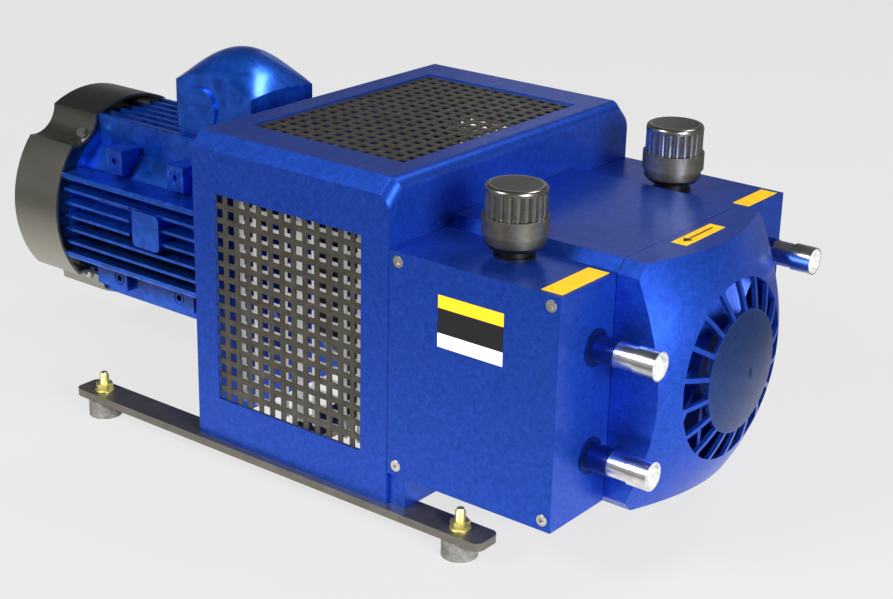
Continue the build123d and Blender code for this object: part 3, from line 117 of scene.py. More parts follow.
def floor_material():
    """Pale floor: even to the camera with a light shadow, and a pool of light in reflections."""
    material, tree, output = new_material("pale_floor")
    grey = (FLOOR_GREY, FLOOR_GREY, FLOOR_GREY, 1)
    even = node_of(tree, "ShaderNodeEmission", Color=grey)
    matt = node_of(tree, "ShaderNodeBsdfDiffuse", Color=grey)
    both = node_of(tree, "ShaderNodeMixShader", Fac=FLOOR_SHADOW_SHARE)
    tree.links.new(even.outputs[0], both.inputs[1])
    tree.links.new(matt.outputs[0], both.inputs[2])
    place = tree.nodes.new("ShaderNodeTexCoord")
    squeeze = tree.nodes.new("ShaderNodeMapping")
    squeeze.inputs["Scale"].default_value = (1 / POOL_HALF_LENGTH, 1 / POOL_HALF_WIDTH, 1)
    away = tree.nodes.new("ShaderNodeVectorMath")
    away.operation = "LENGTH"
    pool = node_of(tree, "ShaderNodeMapRange", From_Min=POOL_EDGES[0], From_Max=POOL_EDGES[1],
                   To_Min=POOL_GREYS[0], To_Max=POOL_GREYS[1])
    lit = tree.nodes.new("ShaderNodeEmission")
    tree.links.new(place.outputs["Object"], squeeze.inputs["Vector"])
    tree.links.new(squeeze.outputs["Vector"], away.inputs[0])
    tree.links.new(away.outputs["Value"], pool.inputs["Value"])
    tree.links.new(pool.outputs["Result"], lit.inputs["Color"])
    path = tree.nodes.new("ShaderNodeLightPath")
    seen = tree.nodes.new("ShaderNodeMixShader")
    tree.links.new(path.outputs["Is Camera Ray"], seen.inputs["Fac"])
    tree.links.new(matt.outputs[0], seen.inputs[1])
    tree.links.new(both.outputs[0], seen.inputs[2])
    mirrored = tree.nodes.new("ShaderNodeMixShader")
    tree.links.new(path.outputs["Is Glossy Ray"], mirrored.inputs["Fac"])
    tree.links.new(seen.outputs[0], mirrored.inputs[1])
    tree.links.new(lit.outputs[0], mirrored.inputs[2])
    tree.links.new(mirrored.outputs[0], output.inputs["Surface"])
    return material


bpy.ops.object.select_all(action="DESELECT")
bpy.ops.mesh.primitive_plane_add(size=FLOOR_SIZE)
floor = bpy.context.object
floor.name = "floor"
floor.data.materials.append(floor_material())

world = bpy.data.worlds.new("soft_sky")
world.use_nodes = True
scene.world = world
sky = world.node_tree
sky.nodes.clear()
sky_place = sky.nodes.new("ShaderNodeTexCoord")
sky_split = sky.nodes.new("ShaderNodeSeparateXYZ")
sky_ramp = ramp_of(sky, *SKY_STOPS)
sky_light = node_of(sky, "ShaderNodeBackground", Strength=SKY_STRENGTH)
sky_output = sky.nodes.new("ShaderNodeOutputWorld")
sky.links.new(sky_place.outputs["Generated"], sky_split.inputs[0])
sky.links.new(sky_split.outputs["Z"], sky_ramp.inputs[0])
sky.links.new(sky_ramp.outputs[0], sky_light.inputs["Color"])
sky_seen = node_of(sky, "ShaderNodeBackground", Color=(FLOOR_GREY, FLOOR_GREY, FLOOR_GREY, 1))
sky_path = sky.nodes.new("ShaderNodeLightPath")
sky_mix = sky.nodes.new("ShaderNodeMixShader")
sky.links.new(sky_path.outputs["Is Camera Ray"], sky_mix.inputs["Fac"])
sky.links.new(sky_light.outputs[0], sky_mix.inputs[1])
sky.links.new(sky_seen.outputs[0], sky_mix.inputs[2])
sky.links.new(sky_mix.outputs[0], sky_output.inputs[0])


def soft_lamp(name, place, aim, size, power, colour):
    """Square lamp that faces a point of the machine."""
    lamp = bpy.data.lights.new(name, "AREA")
    lamp.shape = "SQUARE"
    lamp.size = size
    lamp.energy = power
    lamp.color = colour
    holder = bpy.data.objects.new(name, lamp)
    holder.location = place
    holder.rotation_euler = (Vector(aim) - Vector(place)).to_track_quat("-Z", "Y").to_euler()
    scene.collection.objects.link(holder)


soft_lamp("key_lamp", place=(-1.0, -2.6, 2.2), aim=(-0.1, 0.0, 0.2), size=1.1, power=105,
          colour=(1.0, 0.99, 0.97))
soft_lamp("front_lamp", place=(2.5, -1.0, 0.95), aim=(0.3, 0.0, 0.12), size=0.9, power=125,
          colour=(0.97, 0.98, 1.0))
soft_lamp("back_lamp", place=(0.9, 1.6, 3.2), aim=(0.1, 0.0, 0.3), size=0.8, power=40,
          colour=(1.0, 1.0, 1.0))
soft_lamp("pool_lamp", place=(-0.95, 1.80, 1.07), aim=(0.30, 0.04, 0.28), size=0.5, power=0.4,
          colour=(0.98, 0.98, 1.0))


# Rails and cross beams: flat steel bars with rounded ends under the whole pump, painted a dark olive
# grey and held by the studs of the feet. The iron castings inside the machine are finished here too.
COAT_ROUGHNESS = 0.16
TONE_STOPS = (0.28, 0.50, 0.74)
GLOSS_SCALE_SHARE = 0.45
PEEL_SCALE = 900.0
PEEL_DEPTH = 0.0004


def paint(name, colours, scale, rough, metallic, coat, bump):
    """Sprayed or cast surface: three tones in small soft patches, uneven gloss, fine orange peel."""
    material, tree, output = new_material(name)
    body = node_of(tree, "ShaderNodeBsdfPrincipled", Metallic=metallic, Coat_Weight=coat,
                   Coat_Roughness=COAT_ROUGHNESS)
    place = tree.nodes.new("ShaderNodeTexCoord")
    patches = node_of(tree, "ShaderNodeTexNoise", Scale=scale, Detail=5.0, Roughness=0.55,
                      Distortion=0.9)
    tones = ramp_of(tree, *zip(TONE_STOPS, colours))
    tree.links.new(place.outputs["Object"], patches.inputs["Vector"])
    tree.links.new(patches.outputs["Fac"], tones.inputs["Fac"])
    tree.links.new(tones.outputs["Color"], body.inputs["Base Color"])
    gloss = node_of(tree, "ShaderNodeTexNoise", Scale=scale * GLOSS_SCALE_SHARE, Detail=4.0)
    spread = node_of(tree, "ShaderNodeMapRange", To_Min=rough[0], To_Max=rough[1])
    tree.links.new(place.outputs["Object"], gloss.inputs["Vector"])
    tree.links.new(gloss.outputs["Fac"], spread.inputs["Value"])
    tree.links.new(spread.outputs["Result"], body.inputs["Roughness"])
    peel = node_of(tree, "ShaderNodeTexNoise", Scale=PEEL_SCALE, Detail=3.0)
    relief = node_of(tree, "ShaderNodeBump", Strength=bump, Distance=PEEL_DEPTH)
    tree.links.new(place.outputs["Object"], peel.inputs["Vector"])
    tree.links.new(peel.outputs["Fac"], relief.inputs["Height"])
    tree.links.new(relief.outputs["Normal"], body.inputs["Normal"])
    tree.links.new(body.outputs[0], output.inputs["Surface"])
    return material


def graded(material, squeeze, centre, near, far, shares):
    """Tint a finish by its squeezed distance from a centre: the first share up to the near distance,
    the second from the far one on. A squeeze of zero along an axis makes the centre a line or plane."""
    tree = material.node_tree
    body = tree.nodes["Principled BSDF"]
    flat = body.inputs["Base Color"].links[0].from_socket
    place = tree.nodes.new("ShaderNodeTexCoord")
    moved = tree.nodes.new("ShaderNodeMapping")
    moved.inputs["Scale"].default_value = squeeze
    moved.inputs["Location"].default_value = [-a * b for a, b in zip(centre, squeeze)]
    away = tree.nodes.new("ShaderNodeVectorMath")
    away.operation = "LENGTH"
    share = node_of(tree, "ShaderNodeMapRange", From_Min=near, From_Max=far)
    tint = ramp_of(tree, (0.0, shares[0]), (1.0, shares[1]))
    deepen = tree.nodes.new("ShaderNodeMix")
    deepen.data_type = "RGBA"
    deepen.blend_type = "MULTIPLY"
    deepen.inputs["Factor"].default_value = 1.0
    tree.links.new(place.outputs["Object"], moved.inputs["Vector"])
    tree.links.new(moved.outputs["Vector"], away.inputs[0])
    tree.links.new(away.outputs["Value"], share.inputs["Value"])
    tree.links.new(share.outputs["Result"], tint.inputs["Fac"])
    tree.links.new(flat, deepen.inputs[6])
    tree.links.new(tint.outputs["Color"], deepen.inputs[7])
    tree.links.new(deepen.outputs[2], body.inputs["Base Color"])


def finish(names, material):
    """Give pieces of the CAD model their finish."""
    for name in names:
        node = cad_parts[name]
        node.data.materials.clear()
        node.data.materials.append(material)


RAIL_TONES = ((0.150, 0.140, 0.115), (0.180, 0.168, 0.140), (0.22, 0.205, 0.172))
IRON_TONES = ((0.030, 0.030, 0.031), (0.055, 0.055, 0.057), (0.095, 0.095, 0.098))
rail_paint = paint("rail_paint", RAIL_TONES, scale=35.0, rough=(0.32, 0.45), metallic=0.85, coat=0.0,
                   bump=0.10)
cast_iron = paint("cast_iron", IRON_TONES, scale=120.0, rough=(0.45, 0.70), metallic=0.55, coat=0.0,
                  bump=0.45)
finish(["base_rail_near", "base_rail_far", "cross_beams"], rail_paint)
finish(["lantern", "cylinder_housing", "rear_end_cover", "front_end_cover", "pump_rotor",
        "coupling_hub_motor", "coupling_hub_pump"], cast_iron)


# Feet: grey rubber cylinders under the rails, each with a stud, a washer and a hexagon nut in yellow
# zinc on top of the rail. The nut's corners are chamfered and the stud shows its thread.
DUST_SCALE = 160.0
DUST_STOPS = ((0.35, 0.7), (0.75, 1.7))
DUST_GLOSS = (0.55, 0.85)
DUST_DEPTH = 0.0003


def rubber(name, tone):
    """Matt rubber, and in other tones plastic, carbon or paper, with a dusty bloom."""
    material, tree, output = new_material(name)
    body = node_of(tree, "ShaderNodeBsdfPrincipled", Specular_IOR_Level=0.35)
    place = tree.nodes.new("ShaderNodeTexCoord")
    dust = node_of(tree, "ShaderNodeTexNoise", Scale=DUST_SCALE, Detail=6.0, Roughness=0.7)
    shade = ramp_of(tree, *((stop, [value * share for value in tone]) for stop, share in DUST_STOPS))
    spread = node_of(tree, "ShaderNodeMapRange", To_Min=DUST_GLOSS[0], To_Max=DUST_GLOSS[1])
    relief = node_of(tree, "ShaderNodeBump", Strength=0.25, Distance=DUST_DEPTH)
    tree.links.new(place.outputs["Object"], dust.inputs["Vector"])
    tree.links.new(dust.outputs["Fac"], shade.inputs["Fac"])
    tree.links.new(shade.outputs["Color"], body.inputs["Base Color"])
    tree.links.new(dust.outputs["Fac"], spread.inputs["Value"])
    tree.links.new(spread.outputs["Result"], body.inputs["Roughness"])
    tree.links.new(dust.outputs["Fac"], relief.inputs["Height"])
    tree.links.new(relief.outputs["Normal"], body.inputs["Normal"])
    tree.links.new(body.outputs[0], output.inputs["Surface"])
    return material


MARKS_SCALE = 300.0
MARKS_DEPTH = 0.0002
STAINS_SCALE = 70.0
STAINS_STOPS = ((0.30, 0.72), (0.62, 1.0))


def metal(name, tone, rough, brushed, relief_strength):
    """Bare or plated metal with fine turning marks and small stains."""
    material, tree, output = new_material(name)
    body = node_of(tree, "ShaderNodeBsdfPrincipled", Metallic=1.0)
    place = tree.nodes.new("ShaderNodeTexCoord")
    stretch = tree.nodes.new("ShaderNodeMapping")
    stretch.inputs["Scale"].default_value = brushed
    marks = node_of(tree, "ShaderNodeTexNoise", Scale=MARKS_SCALE, Detail=5.0, Roughness=0.6)
    stains = node_of(tree, "ShaderNodeTexNoise", Scale=STAINS_SCALE, Detail=5.0)
    shade = ramp_of(tree, *((stop, [value * share for value in tone]) for stop, share in STAINS_STOPS))
    spread = node_of(tree, "ShaderNodeMapRange", To_Min=rough[0], To_Max=rough[1])
    relief = node_of(tree, "ShaderNodeBump", Strength=relief_strength, Distance=MARKS_DEPTH)
    tree.links.new(place.outputs["Object"], stretch.inputs["Vector"])
    tree.links.new(stretch.outputs["Vector"], marks.inputs["Vector"])
    tree.links.new(place.outputs["Object"], stains.inputs["Vector"])
    tree.links.new(stains.outputs["Fac"], shade.inputs["Fac"])
    tree.links.new(shade.outputs["Color"], body.inputs["Base Color"])
    tree.links.new(marks.outputs["Fac"], spread.inputs["Value"])
    tree.links.new(spread.outputs["Result"], body.inputs["Roughness"])
    tree.links.new(marks.outputs["Fac"], relief.inputs["Height"])
    tree.links.new(relief.outputs["Normal"], body.inputs["Normal"])
    tree.links.new(body.outputs[0], output.inputs["Surface"])
    return material


SMOOTH_BELOW = math.radians(35)
SAME_POINT = 1e-6


def turned(name, profile, sides):
    """Turned piece standing on Z: one ring drawn along the profile of (radius, height) pairs.
    A profile that ends where it began makes a closed tube, any other is capped at both ends."""
    tube = profile[0] == profile[-1]
    bpy.ops.object.select_all(action="DESELECT")
    bpy.ops.mesh.primitive_circle_add(vertices=sides, radius=profile[0][0],
                                      location=(0, 0, profile[0][1]),
                                      fill_type="NOTHING" if tube else "NGON")
    piece = bpy.context.object
    piece.name = name
    bpy.ops.object.transform_apply(location=True, rotation=True, scale=True)
    bpy.ops.object.mode_set(mode="EDIT")
    bpy.ops.mesh.select_all(action="SELECT")
    for (radius, height), (next_radius, next_height) in zip(profile, profile[1:]):
        rise = (0, 0, next_height - height)
        if tube:
            bpy.ops.mesh.extrude_edges_move(TRANSFORM_OT_translate={"value": rise})
        else:
            bpy.ops.mesh.extrude_region_move(TRANSFORM_OT_translate={"value": rise})
        ratio = next_radius / radius
        bpy.ops.transform.resize(value=(ratio, ratio, 1), center_override=(0, 0, next_height))
    bpy.ops.mesh.select_all(action="SELECT")
    bpy.ops.mesh.remove_doubles(threshold=SAME_POINT)
    bpy.ops.mesh.normals_make_consistent(inside=False)
    bpy.ops.object.mode_set(mode="OBJECT")
    bpy.ops.object.shade_smooth_by_angle(angle=SMOOTH_BELOW)
    return piece


def set_down(piece, place, material, body):
    """Put a finished piece in place with its finish and the body that it moves with."""
    piece.data.transform(place)
    piece.data.update()
    piece.data.materials.clear()
    piece.data.materials.append(material)
    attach(piece, body)


def copy_of(piece, name):
    """Another one of a finished piece, with its own mesh."""
    twin = piece.copy()
    twin.data = piece.data.copy()
    twin.name = name
    scene.collection.objects.link(twin)
    return twin


def joined(pieces, name):
    """Several meshes made one."""
    bpy.ops.object.select_all(action="DESELECT")
    for piece in pieces:
        piece.select_set(True)
    bpy.context.view_layer.objects.active = pieces[0]
    bpy.ops.object.join()
    whole = bpy.context.object
    whole.name = name
    return whole


NUT_CORNER = 0.00924
NUT_BALL_RADIUS = 0.0118
NUT_BALL_SQUASH = 0.62
STUD_RADIUS = 0.005
STUD_CREST = 0.0049
STUD_ROOT = 0.0043
STUD_TIP_HEIGHT = 0.001
STUD_TIP_STEP = 0.0009
THREAD_PITCH = 0.0015
WASHER_BORE = 0.0055
WASHER_RADIUS = 0.0100
WASHER_THICKNESS = 0.0012
WASHER_EDGE = 0.0003

stud_low, stud_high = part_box("foot_studs")
nut_low, nut_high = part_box("foot_nuts")
yellow_zinc = metal("yellow_zinc", tone=(1.0, 0.90, 0.34), rough=(0.34, 0.50), brushed=(1, 1, 1),
                    relief_strength=0.10)


def hexagon_nut():
    """Nut with chamfered corners, made where a hexagon bar and a ball overlap."""
    height = nut_high.z - nut_low.z - WASHER_THICKNESS
    bpy.ops.object.select_all(action="DESELECT")
    bpy.ops.mesh.primitive_uv_sphere_add(segments=48, ring_count=24, radius=NUT_BALL_RADIUS)
    ball = bpy.context.object
    ball.scale = (1, 1, NUT_BALL_SQUASH)
    bpy.ops.object.transform_apply(location=False, rotation=False, scale=True)
    bpy.ops.object.select_all(action="DESELECT")
    bpy.ops.mesh.primitive_cylinder_add(vertices=6, radius=NUT_CORNER, depth=height)
    nut = bpy.context.object
    cut = nut.modifiers.new("chamfer", "BOOLEAN")
    cut.operation = "INTERSECT"
    cut.object = ball
    bpy.ops.object.modifier_apply(modifier="chamfer")
    bpy.data.objects.remove(ball)
    nut.data.transform(Matrix.Translation((0, 0, WASHER_THICKNESS + height / 2)))
    return nut


def washer_and_nut():
    """Nut on its washer, standing on the rail at the origin."""
    washer = turned("washer", [(WASHER_BORE, 0),
                               (WASHER_RADIUS - WASHER_EDGE, 0),
                               (WASHER_RADIUS, WASHER_EDGE),
                               (WASHER_RADIUS, WASHER_THICKNESS - WASHER_EDGE),
                               (WASHER_RADIUS - WASHER_EDGE, WASHER_THICKNESS),
                               (WASHER_BORE, WASHER_THICKNESS),
                               (WASHER_BORE, 0)], sides=32)
    return joined([hexagon_nut(), washer], "foot_nut")


def stud_end():
    """Threaded end of a stud, from the rail's top to its chamfered tip."""
    top = stud_high.z - nut_low.z
    profile = [(STUD_ROOT, 0.0)]
    height = 0.0
    while height + THREAD_PITCH < top - STUD_TIP_HEIGHT:
        profile.append((STUD_CREST, height + THREAD_PITCH / 2))
        profile.append((STUD_ROOT, height + THREAD_PITCH))
        height += THREAD_PITCH
    profile.append((STUD_ROOT - STUD_TIP_STEP, top))
    return turned("foot_stud", profile, sides=24)


foot_places = [(x, y) for x in (stud_low.x + STUD_RADIUS, stud_high.x - STUD_RADIUS)
               for y in (stud_low.y + STUD_RADIUS, stud_high.y - STUD_RADIUS)]
for made, node, slot in ((washer_and_nut(), "foot_nuts", "yellow_zinc"),
                         (stud_end(), "foot_studs", "zinc_steel")):
    for number, (x, y) in enumerate(foot_places, 1):
        twin = copy_of(made, f"{node}_{number}")
        set_down(twin, Matrix.Translation((x, y, nut_low.z)), yellow_zinc, "frame")
        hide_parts(node)
    bpy.data.objects.remove(made)
finish(["rubber_feet"], rubber("foot_rubber", tone=(0.15, 0.145, 0.13)))


# Cage and pedestal: a blue sheet hood over the coupling, bent from one sheet, with olive grey sheets
# of square holes in its windows, and the cast block under the pump. The enamel is slightly mottled.
BLUE_TONES = ((0.008, 0.050, 0.38), (0.011, 0.068, 0.48), (0.017, 0.092, 0.60))
GRILLE_TONES = ((0.075, 0.070, 0.053), (0.105, 0.098, 0.078), (0.145, 0.136, 0.112))
blue_enamel = paint("blue_enamel", BLUE_TONES, scale=190.0, rough=(0.32, 0.44), metallic=0.80,
                    coat=0.15, bump=0.12)
grille_paint = paint("grille_paint", GRILLE_TONES, scale=60.0, rough=(0.35, 0.50), metallic=0.85,
                     coat=0.0, bump=0.15)
finish(["cage_shell", "pump_pedestal"], blue_enamel)
finish(["top_grille", "side_grille_near", "side_grille_far"], grille_paint)


# Painted light: pale flat bars, upright and level, behind each side grille, standing for the light seen
# through its holes as bright bars. They stay with the cage.
MESH_BEHIND_GRILLE = 0.024
MESH_UPRIGHT_PITCH = 0.0186
MESH_UPRIGHT_WIDTH = 0.0062
MESH_LEVEL_PITCH = 0.0148
MESH_LEVEL_WIDTH = 0.0042
MESH_THICKNESS = 0.001
MESH_REAR = -0.042
SHEET_TONES = ((0.88, 0.88, 0.86), (0.92, 0.92, 0.90), (0.96, 0.96, 0.95))
pale_sheet = paint("pale_sheet", SHEET_TONES, scale=60.0, rough=(0.40, 0.55), metallic=0.0, coat=0.2,
                   bump=0.10)


def mesh_bars(count, pitch, along, size, first):
    """A row of flat bars, one made and the others set beside it."""
    bpy.ops.object.select_all(action="DESELECT")
    bpy.ops.mesh.primitive_cube_add(size=1)
    bars = bpy.context.object
    bars.data.transform(Matrix.Translation(first) @ Matrix.Diagonal((*size, 1)))
    row = bars.modifiers.new("row", "ARRAY")
    row.use_relative_offset = False
    row.use_constant_offset = True
    row.constant_offset_displace = [value * pitch for value in along]
    row.count = count
    bpy.ops.object.modifier_apply(modifier="row")
    return bars


for side, sign in (("near", -1), ("far", 1)):
    low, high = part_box("side_grille_" + side)
    y = (low.y + high.y) / 2 - sign * MESH_BEHIND_GRILLE
    width = high.x - MESH_REAR
    height = high.z - low.z
    uprights = mesh_bars(int(width / MESH_UPRIGHT_PITCH), MESH_UPRIGHT_PITCH, along=(1, 0, 0),
                         size=(MESH_UPRIGHT_WIDTH, MESH_THICKNESS, height),
                         first=(MESH_REAR + MESH_UPRIGHT_PITCH / 2, y, (low.z + high.z) / 2))
    levels = mesh_bars(int(height / MESH_LEVEL_PITCH), MESH_LEVEL_PITCH, along=(0, 0, 1),
                       size=(width, MESH_THICKNESS, MESH_LEVEL_WIDTH),
                       first=(MESH_REAR + width / 2, y - sign * MESH_THICKNESS,
                              low.z + MESH_LEVEL_PITCH / 2))
    # Painted light: these pale bars stand for the light seen through the grille's holes.
    light_bars = joined([uprights, levels], "painted_light_bars_" + side)
    set_down(light_bars, Matrix.Identity(4), pale_sheet, "frame")


# Inner pieces: shafts, bearings, spindles and springs in bright steel, a red elastic star between the
# coupling's hubs, the motor's iron cores, carbon vanes in the pump and paper filters in the chambers.
ground_steel = metal("ground_steel", tone=(0.62, 0.62, 0.63), rough=(0.20, 0.40), brushed=(40, 1, 1),
                     relief_strength=0.15)
finish(["pump_shaft", "motor_shaft", "spindle_near", "spindle_far", "bearings", "valve_spring_near",
        "valve_spring_far"], ground_steel)
finish(["coupling_spider"], rubber("star_rubber", tone=(0.42, 0.03, 0.02)))
finish(["stator_core", "motor_rotor"], cast_iron)
finish(["vanes"], rubber("carbon", tone=(0.03, 0.03, 0.03)))
finish(["filter_cartridges"], rubber("filter_paper", tone=(0.55, 0.50, 0.38)))


# Pump shroud, chambers and their covers: the same blue enamel, with flat outer covers held by
# socket screws sunk flush in the corners. The stubs of the hose nozzles are a darker blue.
STUB_TONES = ((0.004, 0.018, 0.13), (0.006, 0.024, 0.17), (0.010, 0.034, 0.22))
SCREW_RADIUS = 0.0057
SCREW_DEPTH = 0.0024
SCREW_EDGE = 0.0005
SCREW_INSET = 0.0095
SOCKET_RADIUS = 0.0028
SOCKET_DEPTH = 0.0018
screw_zinc = metal("screw_zinc", tone=(0.80, 0.77, 0.70), rough=(0.20, 0.38), brushed=(1, 1, 1),
                   relief_strength=0.10)
finish(["pump_shroud", "chamber_housing_near", "chamber_housing_far", "chamber_cover_near",
        "chamber_cover_far"], blue_enamel)
stub_enamel = paint("stub_enamel", STUB_TONES, scale=110.0, rough=(0.20, 0.30), metallic=0.80,
                    coat=0.30, bump=0.08)
finish(["hose_stubs"], stub_enamel)


def socket_screw():
    """Screw head with an eased rim and a hexagon socket, facing +Z with its face at the origin."""
    head = turned("head", [(SCREW_RADIUS, -SCREW_DEPTH),
                           (SCREW_RADIUS, -SCREW_EDGE),
                           (SCREW_RADIUS - SCREW_EDGE, 0),
                           (SOCKET_RADIUS, 0)], sides=48)
    bpy.ops.object.select_all(action="DESELECT")
    bpy.ops.mesh.primitive_cylinder_add(vertices=6, radius=SOCKET_RADIUS, depth=2 * SOCKET_DEPTH)
    socket = bpy.context.object
    bpy.ops.object.select_all(action="DESELECT")
    head.select_set(True)
    bpy.context.view_layer.objects.active = head
    cut = head.modifiers.new("socket", "BOOLEAN")
    cut.operation = "DIFFERENCE"
    cut.object = socket
    bpy.ops.object.modifier_apply(modifier="socket")
    bpy.data.objects.remove(socket)
    return head


cover_low, cover_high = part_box("chamber_cover_near")
far_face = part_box("chamber_cover_far")[1].y
screw = socket_screw()
number = 0
for face, tilt in ((cover_low.y, 90), (far_face, -90)):
    for x in (cover_low.x + SCREW_INSET, cover_high.x - SCREW_INSET):
        for z in (cover_low.z + SCREW_INSET, cover_high.z - SCREW_INSET):
            number += 1
            twin = copy_of(screw, f"cover_screw_{number}")
            place = Matrix.Translation((x, face, z)) @ Matrix.Rotation(math.radians(tilt), 4, "X")
            set_down(twin, place, screw_zinc, "frame")
            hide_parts("cover_screws")
bpy.data.objects.remove(screw)


# Hose tails: turned and polished steel, a plain neck, then a wider sleeve with a thin rolled rim
# round a smooth open mouth. A thin pale tube lines each mouth.
nozzle_steel = metal("nozzle_steel", tone=(0.86, 0.86, 0.84), rough=(0.16, 0.26), brushed=(1, 60, 60),
                     relief_strength=0.04)
TAILS = ("hose_tail_near_upper", "hose_tail_near_lower", "hose_tail_far_upper")
MOUTH_RADIUS = 0.0117
MOUTH_WALL = 0.0002
MOUTH_DEPTH = 0.0155
finish(TAILS, nozzle_steel)
mouth_lining = rubber("mouth_lining", tone=(0.62, 0.63, 0.61))
for name in TAILS:
    low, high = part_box(name)
    lining = turned(name + "_lining", [(MOUTH_RADIUS, 0),
                                       (MOUTH_RADIUS, MOUTH_DEPTH),
                                       (MOUTH_RADIUS - MOUTH_WALL, MOUTH_DEPTH),
                                       (MOUTH_RADIUS - MOUTH_WALL, 0),
                                       (MOUTH_RADIUS, 0)], sides=48)
    place = Matrix.Translation((high.x - MOUTH_DEPTH, (low.y + high.y) / 2, (low.z + high.z) / 2))
    set_down(lining, place @ Matrix.Rotation(math.radians(90), 4, "Y"), mouth_lining, "frame")


# Regulating valves: turned dark metal bodies with painted shade, near black, on the neck under their
# flared collar, and a knob with polished ribs round a flat top painted near black as a painted
# reflection of the dark sky. The plates and discs inside are brass.
KNOB_TONES = ((0.16, 0.155, 0.13), (0.22, 0.215, 0.185), (0.30, 0.29, 0.25))
KNOB_FACE_RADIUS = 0.0222
KNOB_RIM_RADIUS = 0.0232
COLLAR_TONES = ((0.105, 0.100, 0.083), (0.135, 0.130, 0.108), (0.17, 0.165, 0.14))
NECK_TOP = 0.2835
COLLAR_LIP = 0.297
collar_metal_painted_shade = paint("collar_metal_painted_shade", COLLAR_TONES, scale=120.0, rough=(0.40, 0.52), metallic=0.85,
                     coat=0.0, bump=0.10)
# Painted shade: near black below the neck's top, for the shadow under the collar, rising to most of the
# tone at the collar's lip.
graded(collar_metal_painted_shade, squeeze=(0, 0, 1), centre=(0, 0, 0), near=NECK_TOP, far=COLLAR_LIP,
       shares=((0.10, 0.10, 0.11), (0.85, 0.85, 0.85)))
for side in ("near", "far"):
    low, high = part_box("knob_" + side)
    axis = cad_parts["knob_" + side].matrix_world.inverted() @ ((low + high) / 2)
    knob_plastic = paint("knob_plastic_" + side, KNOB_TONES, scale=150.0, rough=(0.20, 0.30),
                         metallic=0.95, coat=0.0, bump=0.05)
    # Painted reflection: inside the flat face's radius the knob is painted near black, standing for the
    # dark sky its top mirrors.
    graded(knob_plastic, squeeze=(1, 1, 0), centre=axis, near=KNOB_FACE_RADIUS, far=KNOB_RIM_RADIUS,
           shares=((0.04, 0.04, 0.035), (1.0, 1.0, 1.0)))
    finish(["knob_" + side], knob_plastic)
finish(["valve_body_near", "valve_body_far"], collar_metal_painted_shade)
finish(["spring_plate_near", "spring_plate_far", "relief_disc_near", "relief_disc_far"],
       metal("valve_brass", tone=(0.72, 0.52, 0.22), rough=(0.2, 0.4), brushed=(1, 1, 1),
             relief_strength=0.1))


# Fan cowl and fan: a pressed dome in the blue enamel, darker on the closed hub inside its ring of
# vents, and a blue fan close behind them on the pump shaft.
FAN_TONES = ((0.006, 0.045, 0.38), (0.010, 0.075, 0.55), (0.016, 0.11, 0.7))
HUB_RADIUS = 0.0574
HUB_EDGE = 0.002
fan_blue = paint("fan_blue", FAN_TONES, scale=40.0, rough=(0.35, 0.5), metallic=0.3, coat=0.2, bump=0.1)
fan_low, fan_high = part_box("pump_fan")
fan_axis_z = (fan_low.z + fan_high.z) / 2
cowl_enamel = paint("cowl_enamel", BLUE_TONES, scale=190.0, rough=(0.32, 0.44), metallic=0.80,
                    coat=0.15, bump=0.12)
graded(cowl_enamel, squeeze=(0, 1, 1), centre=(0, 0, fan_axis_z), near=HUB_RADIUS - HUB_EDGE,
       far=HUB_RADIUS + HUB_EDGE, shares=((1.3, 0.62, 0.34), (1.0, 1.0, 1.0)))
finish(["fan_cowl"], cowl_enamel)
finish(["pump_fan"], fan_blue)


# Motor: a cast aluminium frame with fins, pads and foot bars, and its terminal box, sprayed a brighter
# and glossier blue, with painted shade dark between the fins. The rear cowl is a grey sheet, darker on
# top from a painted reflection of the dark sky, held by bright bolts over a black plastic fan.
MOTOR_TONES = ((0.005, 0.060, 0.42), (0.010, 0.100, 0.62), (0.020, 0.16, 0.86))
COWL_TONES = ((0.300, 0.285, 0.235), (0.315, 0.300, 0.248), (0.330, 0.315, 0.260))
MOTOR_AXIS_Z = 0.1675
FIN_ROOT = 0.085
FIN_TIP = 0.104
LOWER_FINS_DROP = 0.030
FIN_SQUEEZE = 1.4
motor_enamel = paint("motor_enamel", MOTOR_TONES, scale=60.0, rough=(0.22, 0.34), metallic=0.80,
                     coat=0.30, bump=0.15)
cowl_paint = paint("cowl_paint", COWL_TONES, scale=45.0, rough=(0.30, 0.36), metallic=0.92, coat=0.0,
                   bump=0.05)
# Painted reflection: the cowl's upper part is painted darker, standing for the dark sky it mirrors; the
# lower part keeps its tone.
graded(cowl_paint, squeeze=(0, 0, 1), centre=(0, 0, 0), near=MOTOR_AXIS_Z - FIN_TIP / 2,
       far=MOTOR_AXIS_Z + FIN_TIP, shares=((1.0, 1.0, 1.0), (0.32, 0.34, 0.37)))
finned_enamel_painted_shade = paint("finned_enamel_painted_shade", MOTOR_TONES, scale=60.0, rough=(0.22, 0.34), metallic=0.80,
                      coat=0.30, bump=0.15)
# Painted shade: the frame is painted near black at the roots of the fins and keeps its tone at their
# tips.
graded(finned_enamel_painted_shade, squeeze=(0, 1, FIN_SQUEEZE), centre=(0, 0, MOTOR_AXIS_Z - LOWER_FINS_DROP),
       near=FIN_ROOT, far=FIN_TIP, shares=((0.03, 0.045, 0.10), (1.0, 1.0, 1.0)))
finish(["motor_housing"], finned_enamel_painted_shade)
finish(["motor_front_shield", "motor_rear_shield", "terminal_box", "terminal_lid", "terminal_plug"],
       motor_enamel)
finish(["motor_fan_cowl"], cowl_paint)
finish(["cowl_bolts"], screw_zinc)
finish(["motor_fan"], rubber("fan_plastic", tone=(0.02, 0.02, 0.02)))


